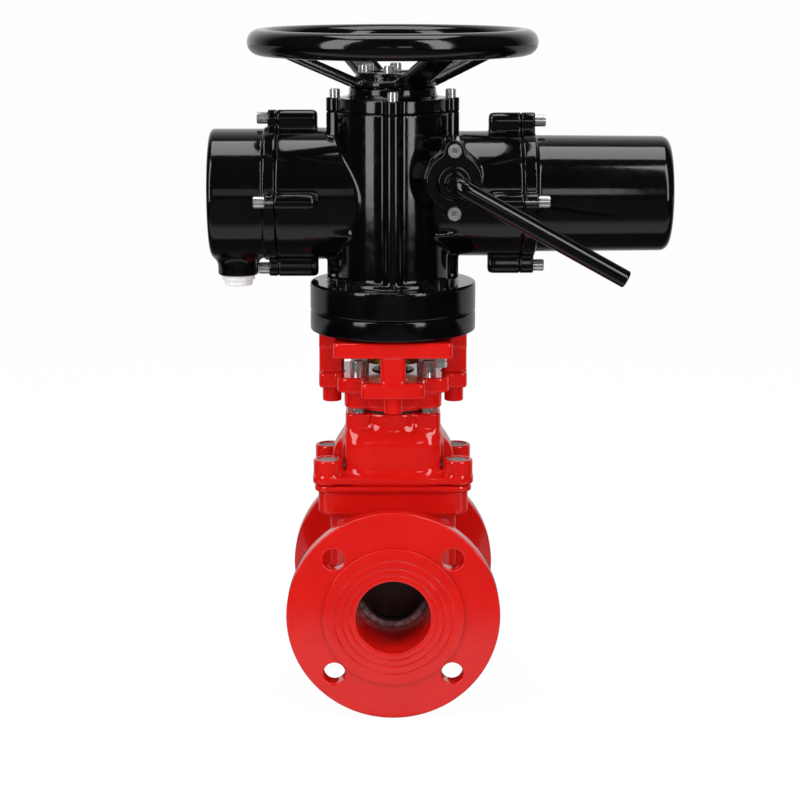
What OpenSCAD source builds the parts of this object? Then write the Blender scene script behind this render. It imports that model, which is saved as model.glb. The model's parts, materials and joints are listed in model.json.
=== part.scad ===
// Motor-operated gate valve with soft-seated wedge, bolted yoke and handwheel.
// Origin: centre of the inlet flange's bolted face, behind its raised face. +Y runs
// down the pipe, +Z up the stem, +X towards the motor. The stem stands halfway
// between the two flanges.

/* [Pipe ends] */
// Bore of the pipe ends
bore_d = 65; // [56:1:68]
// Length from flange face to flange face
face_to_face = 190; // [186:1:220]
// Outside diameter of the flanges
flange_d = 185; // [180:1:196]
// Thickness of a flange behind its raised face
flange_t = 16; // [13:1:19]
// Diameter of the raised face
raised_d = 122; // [112:1:123]
// Height of the raised face
raised_h = 3; // [2:0.5:4]
// Bolt circle of the flange holes
bolt_pcd = 145; // [143:1:150]
// Diameter of a flange hole
bolt_d = 19; // [14:1:20]
// Extra radius of the outlet flange's holes over the inlet's
outlet_slack = 0.18; // [0.16:0.01:0.3]
// Number of flange holes
bolt_count = 4; // [4:4:8]

/* [Valve body and bonnet] */
// Wall of the bore tube
tube_wall = 11; // [8:1:13]
// Height of the bonnet joint above the bore axis
joint_h = 103; // [100:1:118]
// Half width of the wedge chamber
chamber_hw = 34.5; // [34.5:0.5:37]
// Half depth of the wedge chamber along the bore
chamber_hd = 22; // [21.6:0.1:24]
// Half spacing of the bonnet screws across the pipe
boss_x = 57; // [56:0.5:60]
// Half spacing of the bonnet screws along the pipe
boss_y = 29; // [28:0.5:32]
// Radius of a bonnet screw boss
boss_r = 13; // [12.5:0.5:14]
// Height of the bosses above the joint
boss_h = 22.5; // [20:0.5:26]
// Thickness of the bonnet plate
bonnet_t = 7.8; // [6:0.2:10]
// Height of the neck top above the joint
neck_h = 62.5; // [62:0.5:72]
// Gap left open between body and bonnet
joint_gap = 0.8; // [0.5:0.1:1.2]

/* [Wedge and stem] */
// Lift of the wedge from shut to open
lift = 68; // [66:1:69]
// Stem diameter
stem_d = 20; // [18:0.5:21]
// Stem collar diameter
collar_d = 32; // [28:0.5:34]
// Height of the wedge above the bore axis
wedge_top = 70; // [69:0.5:71]
// Thickness of the rubber on the wedge
rubber_t = 3; // [2:0.5:4]

/* [Yoke] */
// Bolt circle of the actuator screws
yoke_pcd = 108; // [106:1:112]
// Width of a yoke post
post_w = 22; // [20:0.5:24]
// Height of the yoke window between its plates
window_h = 22; // [20:1:40]
// Thickness of the yoke's lower plate
lower_t = 13.4; // [11:0.2:16]
// Thickness of the yoke's top plate
top_t = 13.4; // [11:0.2:16]
// Height of the hub under the lower plate
hub_h = 17.7; // [16:0.1:22]
// Half spacing of the neck screws across the pipe
neck_x = 29.5; // [28:0.5:31]
// Half spacing of the neck screws along the pipe
neck_y = 21; // [20:0.5:24]

/* [Actuator case] */
// Diameter of the base flange
base_d = 145; // [142:1:152]
// Thickness of the loose base ring
base_t = 17.2; // [16:0.2:22]
// Thickness of the case foot
foot_t = 25.2; // [25:0.2:30]
// Diameter of the case column
column_d = 100; // [99:0.5:104]
// Height of the column above the foot
column_h = 147.5; // [144:0.5:160]
// Radius of the four screw ribs on the column
rib_r = 7.5; // [6.5:0.5:8]
// Height of the side tubes' axis above the foot
tube_up = 74.5; // [74:0.5:77]
// Distance of the side tubes' axis behind the stem
tube_back = 17; // [16:0.5:19]
// Diameter of the electrical side
wire_d = 115; // [113:0.5:117]
// Diameter of the motor side
motor_d = 109; // [107:0.5:111]
// Reach of the case to the electrical cover
wire_reach = 101; // [98:1:110]
// Reach of the case to the motor cover
motor_reach = 112; // [110:1:120]
// Length of the electrical cover
wire_cover_l = 60.5; // [56:0.5:75]
// Length of the motor cover
motor_cover_l = 134; // [130:1:150]
// Wall of the case and covers
case_wall = 6; // [4.5:0.5:7]

/* [Handwheel] */
// Outside diameter of the handwheel
wheel_d = 250; // [220:2:280]
// Thickness of the handwheel rim
rim_d = 22; // [18:1:26]
// Height of the rim's middle above the hub face
rim_up = 37.5; // [30:0.5:45]
// Number of spokes
spokes = 4; // [3:1:6]
// Width of a spoke
spoke_w = 25; // [18:1:28]
// Turn of the first spoke from +X
spoke_turn = 24; // [0:1:45]

/* [Clutch lever] */
// Length of the lever from its shaft to its tip
lever_l = 164; // [120:1:180]
// Diameter of the lever rod
lever_d = 15; // [12:0.5:16]
// Slope of the lever below level when at rest
lever_drop = 29; // [20:1:34]
// Distance of the lever shaft from the stem towards the motor
lever_x = 51.5; // [50:0.5:54]
// Height of the lever shaft above the tubes' axis
lever_up = 19.5; // [18:0.5:21]

/* [Gears] */
// Module of the worm gear
gear_m = 2; // [2:0.1:2.1]
// Teeth on the worm wheel
wheel_teeth = 30; // [30:1:31]
// Pitch diameter of the worm
worm_pd = 18; // [17:0.5:19]
// Teeth on the spur gear of the worm shaft
spur_teeth = 14; // [13:1:14]
// Teeth on the motor pinion
pinion_teeth = 8; // [8:1:9]

/* [Fits] */
// Radial clearance of a running fit
run_fit = 0.05; // [0.03:0.01:0.08]
// Gap between parts that pass each other
pass_gap = 0.5; // [0.3:0.05:0.6]
// Radial clearance of a screw in its hole
screw_gap = 0.3; // [0.15:0.05:0.4]

/* [Hidden] */
$fn = 64;

red = "#d8281c";
black = "#15171a";
steel = "#b9bcc0";
dark_steel = "#6d7176";
brass = "#b98f45";
rubber = "#1d1e20";
white = "#f1f1ee";
grey = "#9a9c9e";

// Overlap that lets two joined solids share a volume
weld = 0.5;
quarter = 90;

// Heights above the bore axis, stacked from the joint upwards
stem_y = face_to_face / 2 - raised_h;
bore_r = bore_d / 2;
neck_top = joint_h + neck_h;
gasket_t = 3;
hub_z = neck_top + gasket_t;
lower_z = hub_z + hub_h;
window_z = lower_z + lower_t;
top_z = window_z + window_h;
relief = 2;
base_z = top_z + top_t + relief;
foot_z = base_z + base_t;
column_z = foot_z + foot_t;
cover_z = column_z + column_h;
axis_z = column_z + tube_up;
cover_t = 12;
collar_h = 9.8;
hub_face_z = cover_z + cover_t + collar_h;

// Yoke plan
yoke_r = yoke_pcd / 2;
post_out = yoke_r + post_w / 2;
arm_hw = 27.5;
plate_hw = 51;
lobe_hw = 49;
lobe_hd = 40.5;
side_hd = 17.5;
corner_r = 11;
front_out = 1.5;

// Case plan
column_r = column_d / 2;
rib_at = column_r;
bore_wall = column_r - case_wall - 0.5;
wire_r = wire_d / 2;
motor_r = motor_d / 2;
wire_in = wire_r - case_wall;
motor_in = motor_r - case_wall;
wire_lug = wire_r + 8.5;
motor_lug = motor_r + 9;
lug_r = 5.5;

// Gear train
wheel_r = gear_m * wheel_teeth / 2;
worm_r = worm_pd / 2;
worm_y = wheel_r + worm_r;
spur_m = 2 * (worm_y - tube_back) / (spur_teeth + pinion_teeth);
spur_r = spur_m * spur_teeth / 2;
pinion_r = spur_m * pinion_teeth / 2;
spur_t = 10;
wheel_face = 16;
web_left = -54;
web_right = 66;
web_t = 8;
spur_x = web_right + web_t + 3;
bearing_r = 10;
worm_bore = 5;

// Drive stack
shaft_r = 17;
bush_r = 20;
shoulder_z = axis_z - 16;
clutch_t = 16;
clutch_r = 30;
clutch_z = axis_z + 14 + pass_gap;
clutch_lift = 8;
groove_t = 6;
hand_z = clutch_z + clutch_t + clutch_lift + pass_gap;
hand_r = 15;
lever_z = axis_z + lever_up;
crank_r = 13.3;
crank_half = 17.5;

// Screw sizes: thread radius, head radius, head height
m6 = [3, 5, 6];
m6_long = [3, 5.2, 9.4];
m8 = [4, 6.6, 8];
m10 = [5, 8, 10];

module at_stem() {
    translate([0, stem_y, 0]) children();
}

// Cylinder along Y between two places
module along_y(y0, y1, r) {
    translate([0, y0, 0]) rotate([-quarter, 0, 0]) cylinder(h = y1 - y0, r = r);
}

// Cylinder along X between two places
module along_x(x0, x1, r) {
    translate([x0, 0, 0]) rotate([0, quarter, 0]) cylinder(h = x1 - x0, r = r);
}

// Children moved to the common axis of the side tubes
module at_tubes() {
    at_stem() translate([0, tube_back, axis_z]) children();
}

// Round-cornered plate centred on the stem, half sizes hx and hy
module round_plate(hx, hy, r, z0, z1) {
    translate([0, 0, z0]) linear_extrude(z1 - z0) round_rect(hx, hy, r);
}

module round_rect(hx, hy, r) {
    square([2 * (hx - r), 2 * hy], center = true);
    square([2 * hx, 2 * (hy - r)], center = true);
    for (sx = [-1, 1], sy = [-1, 1])
        translate([sx * (hx - r), sy * (hy - r)]) circle(r);
}

module four_corners(x, y) {
    for (sx = [-1, 1], sy = [-1, 1])
        translate([sx * x, sy * y, 0]) children();
}

module quarters(count = 4) {
    for (i = [0 : count - 1]) rotate([0, 0, i * 360 / count]) children();
}

// Cap screw pointing down, seat of the head at z = 0, with its hexagon socket
module cap_screw(size, length) {
    difference() {
        union() {
            translate([0, 0, -length]) cylinder(h = length + weld, r = size[0]);
            cylinder(h = size[2] - 0.6, r = size[1]);
            translate([0, 0, size[2] - 0.6 - 0.01]) cylinder(h = 0.61, r = size[1] - 0.6);
        }
        translate([0, 0, size[2] * 0.45]) cylinder(h = size[2], r = size[0] * 0.95, $fn = 6);
    }
}

// Screw hole pointing down: clearance for a length, then thread size
module screw_hole(size, clear, depth) {
    translate([0, 0, -clear]) cylinder(h = clear + 1, r = size[0] + screw_gap);
    translate([0, 0, -depth]) cylinder(h = depth, r = size[0] + 0.1);
}

// Points of a quarter arc about c, from angle a0 to a1
function arc(c, r, a0, a1, n = 6) =
    [for (i = [0 : n]) let (a = a0 + (a1 - a0) * i / n) [c[0] + r * cos(a), c[1] + r * sin(a)]];

// ---------------------------------------------------------------- valve body
half_l = face_to_face / 2;
flange_r = flange_d / 2;
tube_r = bore_r + tube_wall;
fillet = 12;
rim_round = 2;
body_hw = 57.5;
body_hd = 32;
block_hw = 66;
block_hd = 38;
block_h = 24;
joint_t = 6;
guide_hw = chamber_hw + 9.5;
guide_hd = 8;
wedge_r = bore_r - 0.3;
ring_w = 5;
ring_t = 2;
ring_hx = chamber_hw + 12.2;
ring_hy = chamber_hd + 6.6;

// Half outline of flange and tube, turned about the pipe axis: [radius, distance]
function end_outline() = concat(
    [[0, 0], [tube_r, 0]],
    arc([tube_r + fillet, half_l - raised_h - flange_t - fillet], fillet, 180, 90),
    arc([flange_r - rim_round, half_l - raised_h - flange_t + rim_round], rim_round, -90, 0, 3),
    arc([flange_r - rim_round, half_l - raised_h - rim_round], rim_round, 0, 90, 3),
    [[raised_d / 2, half_l - raised_h], [raised_d / 2 - 0.5, half_l], [0, half_l]]);

module pipe_end() {
    rotate([-quarter, 0, 0]) rotate_extrude() polygon(end_outline());
}

module body_outside() {
    pipe_end();
    mirror([0, 1, 0]) pipe_end();
    intersection() {
        round_plate(body_hw, body_hd, 22, -body_hw, joint_h - joint_t);
        union() {
            along_y(-body_hd, body_hd, body_hw - 6);
            translate([-body_hw, -body_hd, 0]) cube([2 * body_hw, 2 * body_hd, joint_h]);
        }
    }
    hull() {
        round_plate(body_hw, body_hd, 22, joint_h - joint_t - block_h - 12, joint_h - joint_t - block_h - 11);
        round_plate(block_hw, block_hd, 14, joint_h - joint_t - block_h, joint_h - joint_t - block_h + 1);
    }
    round_plate(block_hw, block_hd, 14, joint_h - joint_t - block_h, joint_h - joint_t + weld);
    round_plate(boss_x + boss_r - 1, boss_y + boss_r - 1, boss_r, joint_h - joint_t, joint_h);
}

module valve_body() {
    color(red) at_stem() difference() {
        body_outside();
        along_y(-half_l - 1, half_l + 1, bore_r);
        translate([0, 0, 0]) intersection() {
            round_plate(chamber_hw, chamber_hd, 2.5, -bore_r, joint_h + 1);
            union() {
                along_y(-chamber_hd, chamber_hd, bore_r);
                translate([-chamber_hw, -chamber_hd, 0])
                    cube([2 * chamber_hw, 2 * chamber_hd, joint_h + 2]);
            }
        }
        round_plate(guide_hw, guide_hd, 3, -8, joint_h + 1);
        translate([0, 0, joint_h - ring_t]) gasket_ring(ring_t + 1, 0);
        translate([0, 0, joint_h]) four_corners(boss_x, boss_y) screw_hole(m8, 1, 24);
        for (side = [0, 1]) mirror([0, side, 0]) translate([0, -half_l, 0]) rotate([quarter, 0, 0])
            rotate([0, 0, 180 / bolt_count]) quarters(bolt_count) translate([bolt_pcd / 2, 0, 0])
                translate([0, 0, -flange_t - raised_h - 6])
                    cylinder(h = flange_t + raised_h + 8, r = bolt_d / 2 + side * outlet_slack);
        seal_grooves();
    }
}

// Three shallow sealing grooves in each raised face
groove_rs = [38, 44, 51];
module seal_grooves() {
    for (side = [0, 1], r = groove_rs) mirror([0, side, 0]) translate([0, -half_l, 0])
        rotate([quarter, 0, 0]) rotate_extrude() translate([r, 0]) circle(r = 0.6, $fn = 16);
}

module gasket_ring(t, slack) {
    linear_extrude(t) difference() {
        round_rect(ring_hx - slack, ring_hy - slack, 9);
        round_rect(ring_hx - ring_w + slack, ring_hy - ring_w + slack, 5);
    }
}

module bonnet_gasket() {
    color(rubber) at_stem() translate([0, 0, joint_h - ring_t]) gasket_ring(ring_t + joint_gap, 0.1);
}

// ---------------------------------------------------------------- bonnet
dome_r = 60;
dome_hw = 53;
dome_hd = 38.5;
dome_corner = 16;
dome_edge = 20;
dome_bow = 120;
room_top = joint_h + 38;
room_deep = 60;
scoop_gap = 2.5;
pocket_top = joint_h + 40.5;
floor_z = pocket_top + 3.5;
carrier_r = 20;
washer_t = 2;
collar_t = 7;
carrier_z = floor_z + 2 * washer_t + collar_t;
neck_lobe = 12.3;
neck_mid = 37;
seat_depth = 11;
plug_down = 1.2;

// Arched vault: front and back bowed, an arch about the joint seen from the front, a
// rounded shoulder seen from the side, and corners rounded in plan
module dome(bottom) {
    top = joint_h + dome_r;
    difference() {
        intersection() {
            round_plate(dome_hw, dome_hd + 0.5, dome_corner, bottom, top + 1);
            for_bow(1, bottom, top);
            for_bow(-1, bottom, top);
            translate([0, dome_hd + 1, joint_h]) rotate([quarter, 0, 0])
                cylinder(h = 2 * dome_hd + 2, r = dome_r);
            translate([-dome_hw - 1, 0, top - room_deep]) rotate([quarter, 0, quarter])
                linear_extrude(2 * dome_hw + 2) round_rect(dome_hd, room_deep, dome_edge);
        }
        translate([0, 0, joint_h + boss_h - seat_depth]) four_corners(boss_x, boss_y)
            cylinder(h = dome_r, r = boss_r + scoop_gap);
    }
}
module for_bow(side, bottom, top) {
    translate([0, side * (dome_bow - dome_hd), bottom - 1]) cylinder(h = top - bottom + 2, r = dome_bow);
}

// Room for the wedge: front outline, side outline and plan cut out of one another
module room(hw, hd, bottom, top, shoulder, edge) {
    intersection() {
        round_plate(hw + 0.5, hd + 0.5, 14, bottom, top + 1);
        translate([0, hd + 1, top - room_deep]) rotate([quarter, 0, 0])
            linear_extrude(2 * hd + 2) round_rect(hw, room_deep, shoulder);
        translate([-hw - 1, 0, top - room_deep]) rotate([quarter, 0, quarter])
            linear_extrude(2 * hw + 2) round_rect(hd, room_deep, edge);
    }
}

module neck_plan(lobe, mid) {
    circle(mid);
    for (sx = [-1, 1], sy = [-1, 1]) translate([sx * neck_x, sy * neck_y]) circle(lobe);
    square([2 * (neck_x + lobe), 2 * neck_y * 0.8], center = true);
}

module bonnet_outside() {
    bottom = joint_h + joint_gap;
    round_plate(boss_x + boss_r, boss_y + boss_r, boss_r, bottom, joint_h + bonnet_t);
    four_corners(boss_x, boss_y) translate([0, 0, bottom]) cylinder(h = boss_h - joint_gap, r = boss_r);
    dome(bottom);
    translate([0, 0, joint_h + 22]) linear_extrude(neck_h - 22) neck_plan(neck_lobe, 30.5);
    translate([0, 0, joint_h + 40]) linear_extrude(neck_h - 40) circle(neck_mid);
}

module bonnet() {
    color(red) at_stem() difference() {
        bonnet_outside();
        room(guide_hw - 2, chamber_hd, joint_h - 1, room_top, 20, 4);
        round_plate(22, 18.5, 6, joint_h, pocket_top);
        translate([0, 0, pocket_top - 1]) cylinder(h = 20, r = stem_d / 2 + pass_gap);
        translate([0, 0, floor_z]) cylinder(h = neck_top - floor_z + 1, r = carrier_r);
        translate([0, 0, neck_top]) four_corners(neck_x, neck_y) screw_hole(m10, 1, 20);
        translate([0, 0, joint_h + boss_h]) four_corners(boss_x, boss_y) {
            translate([0, 0, -seat_depth]) cylinder(h = seat_depth + 1, r = boss_r - 3.4);
            screw_hole(m8, boss_h, boss_h);
        }
    }
}

module bonnet_screws() {
    color(steel) at_stem() four_corners(boss_x, boss_y)
        translate([0, 0, joint_h + boss_h - seat_depth]) cap_screw(m8, 30);
}

module screw_wax_plugs() {
    head_top = joint_h + boss_h - seat_depth + m8[2];
    color(grey) at_stem() four_corners(boss_x, boss_y) translate([0, 0, head_top])
        cylinder(h = seat_depth - m8[2] - plug_down, r = boss_r - 3.4 - 0.02);
}

// ---------------------------------------------------------------- wedge
lip_w = 8;
lip_out = chamber_hd - 0.6;
wedge_hd = 17;
wedge_side = chamber_hw - 1.5;
wedge_shoulder = wedge_top - 24;
nut_hw = 13.5;
nut_h = 20;
stem_end = wedge_top - 24;
guide_fit = 0.6;

// Front outline of the wedge, grown or shrunk by a margin: half circle below,
// upright sides, round shoulders and a narrower neck
shoulder_r = 12.5;
function wedge_line(m) = let (top = wedge_shoulder - 8, cx = wedge_r - shoulder_r, cz = top - shoulder_r) concat(
    arc([0, 0], wedge_r + m, 180, 360, 36),
    arc([cx, cz], shoulder_r + m, 0, 90, 8),
    [[17 + m, top + m], [17 + m, wedge_shoulder + m], [-17 - m, wedge_shoulder + m], [-17 - m, top + m]],
    arc([-cx, cz], shoulder_r + m, 90, 180, 8));

// Raised sealing lip: a half ring with short upright ends
lip_up = 20;
function lip_line() = concat(
    arc([0, 0], wedge_r, 180, 360, 36),
    [[wedge_r, lip_up], [wedge_r - lip_w, lip_up]],
    arc([0, 0], wedge_r - lip_w, 360, 180, 36),
    [[-wedge_r + lip_w, lip_up], [-wedge_r, lip_up]]);

module wedge_plate(m, hd) {
    translate([0, hd, 0]) rotate([quarter, 0, 0]) linear_extrude(2 * hd) polygon(wedge_line(m));
}

module wedge_head(m) {
    round_plate(20 + m, 16.5 + m, 5, wedge_shoulder - 12, wedge_top);
}

module wedge_core() {
    color(dark_steel) at_stem() difference() {
        union() {
            wedge_plate(-rubber_t, wedge_hd - rubber_t);
            wedge_head(-rubber_t);
        }
        nut_slot();
        translate([0, 0, stem_end - lift - 3]) cylinder(h = lift + 40, r = stem_d / 2 + 1.5);
    }
}

module nut_slot() {
    translate([-nut_hw, -nut_hw, wedge_top - nut_h]) cube([2 * nut_hw, 2 * nut_hw, nut_h + 1]);
}

module wedge_rubber() {
    color(rubber) at_stem() difference() {
        union() {
            wedge_plate(0, wedge_hd);
            wedge_head(0);
            translate([0, lip_out, 0]) rotate([quarter, 0, 0]) linear_extrude(2 * lip_out) polygon(lip_line());
            round_plate(guide_hw - guide_fit, guide_hd - guide_fit, 3, -6, wedge_shoulder - 15);
        }
        wedge_plate(-rubber_t, wedge_hd - rubber_t);
        wedge_head(-rubber_t);
        nut_slot();
        translate([0, 0, wedge_shoulder - 20]) cylinder(h = 60, r = stem_d / 2 + 1.5);
    }
}

module wedge_nut() {
    color(brass) at_stem() difference() {
        translate([-nut_hw, -nut_hw, wedge_top - nut_h]) cube([2 * nut_hw, 2 * nut_hw, nut_h - 1]);
        translate([0, 0, wedge_top - nut_h - 1]) cylinder(h = nut_h + 2, r = stem_d / 2 + run_fit);
    }
}

// ---------------------------------------------------------------- stem
key_w = 6;
key_l = 22;
stem_top = base_z + base_t - 2;
collar_z = floor_z + washer_t;
ring_r = 1.5;

module key_slot(extra) {
    translate([stem_d / 2 - 3.5 - 0.01, -key_w / 2 - extra, stem_top - key_l - 1])
        cube([6, key_w + 2 * extra, key_l + 2]);
}

module stem() {
    color(steel) at_stem() difference() {
        union() {
            translate([0, 0, stem_end]) cylinder(h = stem_top - stem_end, r = stem_d / 2);
            translate([0, 0, collar_z]) cylinder(h = collar_t, r = collar_d / 2);
        }
        key_slot(0);
        translate([0, 0, stem_top + 0.01]) cylinder(h = 2, r = stem_d);
    }
}

module stem_key() {
    color(dark_steel) at_stem() intersection() {
        key_slot(0);
        translate([0, 0, stem_top - key_l - 1]) cylinder(h = key_l, r = stem_d / 2 + 2.4);
    }
}

module stem_thrust_washers() {
    color(brass) at_stem() for (z = [floor_z, collar_z + collar_t])
        translate([0, 0, z]) difference() {
            cylinder(h = washer_t, r = carrier_r - 0.3);
            translate([0, 0, -1]) cylinder(h = washer_t + 2, r = stem_d / 2 + pass_gap);
        }
}

ring_zs = [carrier_z + 2.2, carrier_z + 6.4];

module stem_seal_carrier() {
    color(brass) at_stem() difference() {
        translate([0, 0, carrier_z]) cylinder(h = hub_z - carrier_z, r = carrier_r - 0.1);
        translate([0, 0, carrier_z - 1]) cylinder(h = 40, r = stem_d / 2 + run_fit);
        for (z = ring_zs) translate([0, 0, z - ring_r])
            cylinder(h = 2 * ring_r, r = stem_d / 2 + 2 * ring_r);
    }
}

module stem_o_rings() {
    color(rubber) at_stem() for (z = ring_zs) translate([0, 0, z])
        rotate_extrude() translate([stem_d / 2 + ring_r + run_fit, 0]) circle(r = ring_r - 0.1, $fn = 24);
}

wiper_r = 18;
module dust_wiper() {
    color(rubber) at_stem() difference() {
        union() {
            translate([0, 0, window_z - 4]) cylinder(h = 5.2, r = wiper_r);
            translate([0, 0, window_z + 1]) cylinder(h = 2.2, r = stem_d / 2 + 2.5);
        }
        translate([0, 0, window_z - 5]) cylinder(h = 10, r = stem_d / 2 + run_fit);
    }
}

neck_ring_r = 31;
module neck_gasket() {
    color(rubber) at_stem() translate([0, 0, neck_top]) difference() {
        cylinder(h = gasket_t, r = neck_ring_r);
        translate([0, 0, -1]) cylinder(h = gasket_t + 2, r = carrier_r);
    }
}

// ---------------------------------------------------------------- yoke
hub_gap = 2.5;
module yoke_outside() {
    translate([0, 0, hub_z + hub_gap]) linear_extrude(hub_h - hub_gap + weld) neck_plan(neck_lobe + 0.8, 38);
    translate([0, 0, hub_z]) cylinder(h = hub_h, r = neck_ring_r + 5);
    translate([0, 0, lower_z]) linear_extrude(lower_t) {
        round_rect(arm_hw, post_out + front_out, 5);
        round_rect(post_out, side_hd, 5);
        round_rect(lobe_hw, lobe_hd, corner_r);
    }
    quarters() translate([yoke_r, 0, lower_z]) {
        translate([-post_w / 2, -post_w / 2, 0]) cube([post_w / 2, post_w, window_h + lower_t + 2 * weld]);
        round_post(post_w, window_h + lower_t + 2 * weld);
    }
    round_plate(plate_hw, post_out + front_out, 3.5, top_z, top_z + top_t);
    for (a = [0, 180]) rotate([0, 0, a]) translate([yoke_r, 0, top_z]) round_post(post_w + 2, top_t + relief);
    for (a = [90, 270]) rotate([0, 0, a]) translate([yoke_r - 4, 0, top_z])
        round_post(post_w + 2, top_t + relief);
}

// Square post with its two outer edges rounded
module round_post(w, h) {
    linear_extrude(h) intersection() {
        round_rect(post_w / 2, w / 2, 4);
        translate([-post_w, -w]) square([2 * post_w, 2 * w]);
    }
}

module yoke() {
    color(red) at_stem() difference() {
        yoke_outside();
        translate([0, 0, hub_z - 1]) cylinder(h = hub_h + lower_t, r = stem_d / 2 + 3);
        translate([0, 0, window_z - 4]) cylinder(h = 5, r = wiper_r + 0.1);
        translate([0, 0, top_z - 1]) cylinder(h = top_t + relief + 2, r = 32);
        four_corners(neck_x, neck_y) translate([0, 0, hub_z - 1])
            cylinder(h = hub_h + lower_t + 2, r = m10[0] + screw_gap);
        quarters() translate([yoke_r, 0, lower_z - 1])
            cylinder(h = base_z - lower_z + 2, r = m10[0] + screw_gap);
        translate([earth_x, earth_y, top_z - 1]) cylinder(h = earth_in + 2, r = m8[0] + 0.1);
    }
}

// Hexagon screw with its lock nut under the top plate
earth_x = 39.5;
earth_y = -40;
earth_in = 9;
hex_r = 7.5;
module earth_screw() {
    color(steel) at_stem() translate([earth_x, earth_y, top_z]) {
        translate([0, 0, -8]) cylinder(h = earth_in + 8, r = m8[0]);
        hex_head(0, 6.3);
        hex_head(6.7, 5.3);
    }
}

// Hexagon hanging below z = 0 by drop, its corners bevelled by a turned outline
module hex_head(drop, tall) {
    translate([0, 0, -drop - tall]) intersection() {
        rotate([0, 0, 12]) cylinder(h = tall, r = hex_r, $fn = 6);
        rotate_extrude() polygon([[0, -1], [hex_r - 1.8, -1], [hex_r - 1.2, 0], [hex_r + 0.1, 0.8],
            [hex_r + 0.1, tall - 0.8], [hex_r - 1.2, tall + 0.01], [0, tall + 0.01]]);
    }
}

spring_t = 2.2;
module neck_spring_washers() {
    color(dark_steel) at_stem() four_corners(neck_x, neck_y) translate([0, 0, window_z]) difference() {
        cylinder(h = spring_t, r = m10[1] + 0.2);
        translate([0, 0, -1]) cylinder(h = spring_t + 2, r = m10[0] + screw_gap);
    }
}

module neck_screws() {
    color(steel) at_stem() four_corners(neck_x, neck_y)
        translate([0, 0, window_z + spring_t]) cap_screw(m10, window_z + spring_t - neck_top + 16);
}

module yoke_screws() {
    color(red) at_stem() quarters() translate([yoke_r, 0, lower_z]) mirror([0, 0, 1])
        cap_screw([m10[0], 8.4, 14], base_z - lower_z + 12);
}

// ---------------------------------------------------------------- actuator base
base_r = base_d / 2;
base_hole = 28.5;
bearing_out = 38;
lower_race = 8;
shaft_collar = 4;
base_pcd = 120;
edge = 1.5;

// Disc with both edges rounded
module round_disc(r, h, e) {
    rotate_extrude() polygon(concat([[0, 0]], arc([r - e, e], e, -90, 0, 3),
        arc([r - e, h - e], e, 0, 90, 3), [[0, h]]));
}

module base_ring() {
    color(black) at_stem() difference() {
        translate([0, 0, base_z]) round_disc(base_r, base_t, edge);
        translate([0, 0, base_z - 1]) cylinder(h = base_t + 2, r = base_hole);
        translate([0, 0, base_z + 4]) cylinder(h = base_t, r = bearing_out);
        quarters() translate([yoke_r, 0, base_z - 1]) cylinder(h = 15, r = m10[0] + 0.1);
        rotate([0, 0, 45]) quarters() translate([base_pcd / 2, 0, base_z + 3])
            cylinder(h = base_t, r = m8[0] + 0.1);
    }
}

module base_screws() {
    color(black) at_stem() rotate([0, 0, 45]) quarters()
        translate([base_pcd / 2, 0, column_z]) cap_screw(m8, foot_t + 12);
}

race_z = base_z + 4;
shaft_z = race_z + lower_race;
upper_z = shaft_z + shaft_collar;
race_top = upper_z + lower_race;

module thrust_bearings() {
    color(steel) at_stem() for (z = [race_z, upper_z]) translate([0, 0, z]) difference() {
        cylinder(h = lower_race, r = bearing_out - 0.1);
        translate([0, 0, -1]) cylinder(h = lower_race + 2, r = bush_r + 4.8);
        translate([0, 0, lower_race / 2]) rotate_extrude() translate([(bearing_out + bush_r + 4) / 2, 0])
            translate([2, -1.2]) square([8, 2.4]);
    }
}

// ---------------------------------------------------------------- drive bush and output shaft
bush_z = window_z + 8.4;
bush_top = base_z + base_t + 6;
module drive_bush() {
    color(brass) at_stem() difference() {
        union() {
            translate([0, 0, bush_z]) cylinder(h = bush_top - bush_z, r = bush_r);
            translate([0, 0, bush_z]) cylinder(h = 6, r = bush_r + 5);
        }
        translate([0, 0, bush_z - 1]) cylinder(h = bush_top - bush_z + 2, r = stem_d / 2 + 0.02);
        translate([0, -key_w / 2, bush_z - 1]) cube([stem_d / 2 + 2.6, key_w, stem_top - bush_z + 3]);
    }
}

shaft_top = clutch_z + clutch_t + clutch_lift - 1;
shaft_bore = 10;
module output_shaft() {
    color(steel) at_stem() difference() {
        union() {
            translate([0, 0, base_z - 0.6]) cylinder(h = shoulder_z - 40 - base_z, r = bush_r + 4.7);
            translate([0, 0, shaft_z]) cylinder(h = shaft_collar, r = bearing_out - 0.6);
            translate([0, 0, column_z]) cylinder(h = shoulder_z - column_z, r = shaft_r + 4);
            translate([0, 0, column_z]) cylinder(h = shaft_top - column_z, r = shaft_r);
            for (a = [0, 180]) rotate([0, 0, a]) translate([shaft_r - 2, -3, clutch_z - 0.2])
                cube([4, 6, shaft_top - clutch_z]);
        }
        translate([0, 0, base_z - 5]) cylinder(h = bush_top - base_z + 5, r = bush_r);
        translate([0, 0, bush_top - 1]) cylinder(h = shaft_top - bush_top + 2, r = shaft_bore);
    }
}

// ---------------------------------------------------------------- case
module lug_plan(reach, base) {
    circle(lug_r);
    polygon([[-reach, -9], [-reach + 4, -9], [-2, -lug_r], [-2, lug_r], [-reach + 4, 9], [-reach, 9]]);
}

// Four screw lugs round a side tube, from x0 to x1
module lugs(x0, x1, at, tube) {
    for (a = [0 : 90 : 270]) rotate([a, 0, 0]) translate([x0, 0, at]) rotate([0, quarter, 0])
        linear_extrude(x1 - x0) rotate([0, 0, 180]) lug_plan(at - tube + 4);
}

module lug_holes(x0, x1, at, r) {
    for (a = [0 : 90 : 270]) rotate([a, 0, 0]) translate([0, 0, at]) along_x(x0, x1, r);
}

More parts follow.
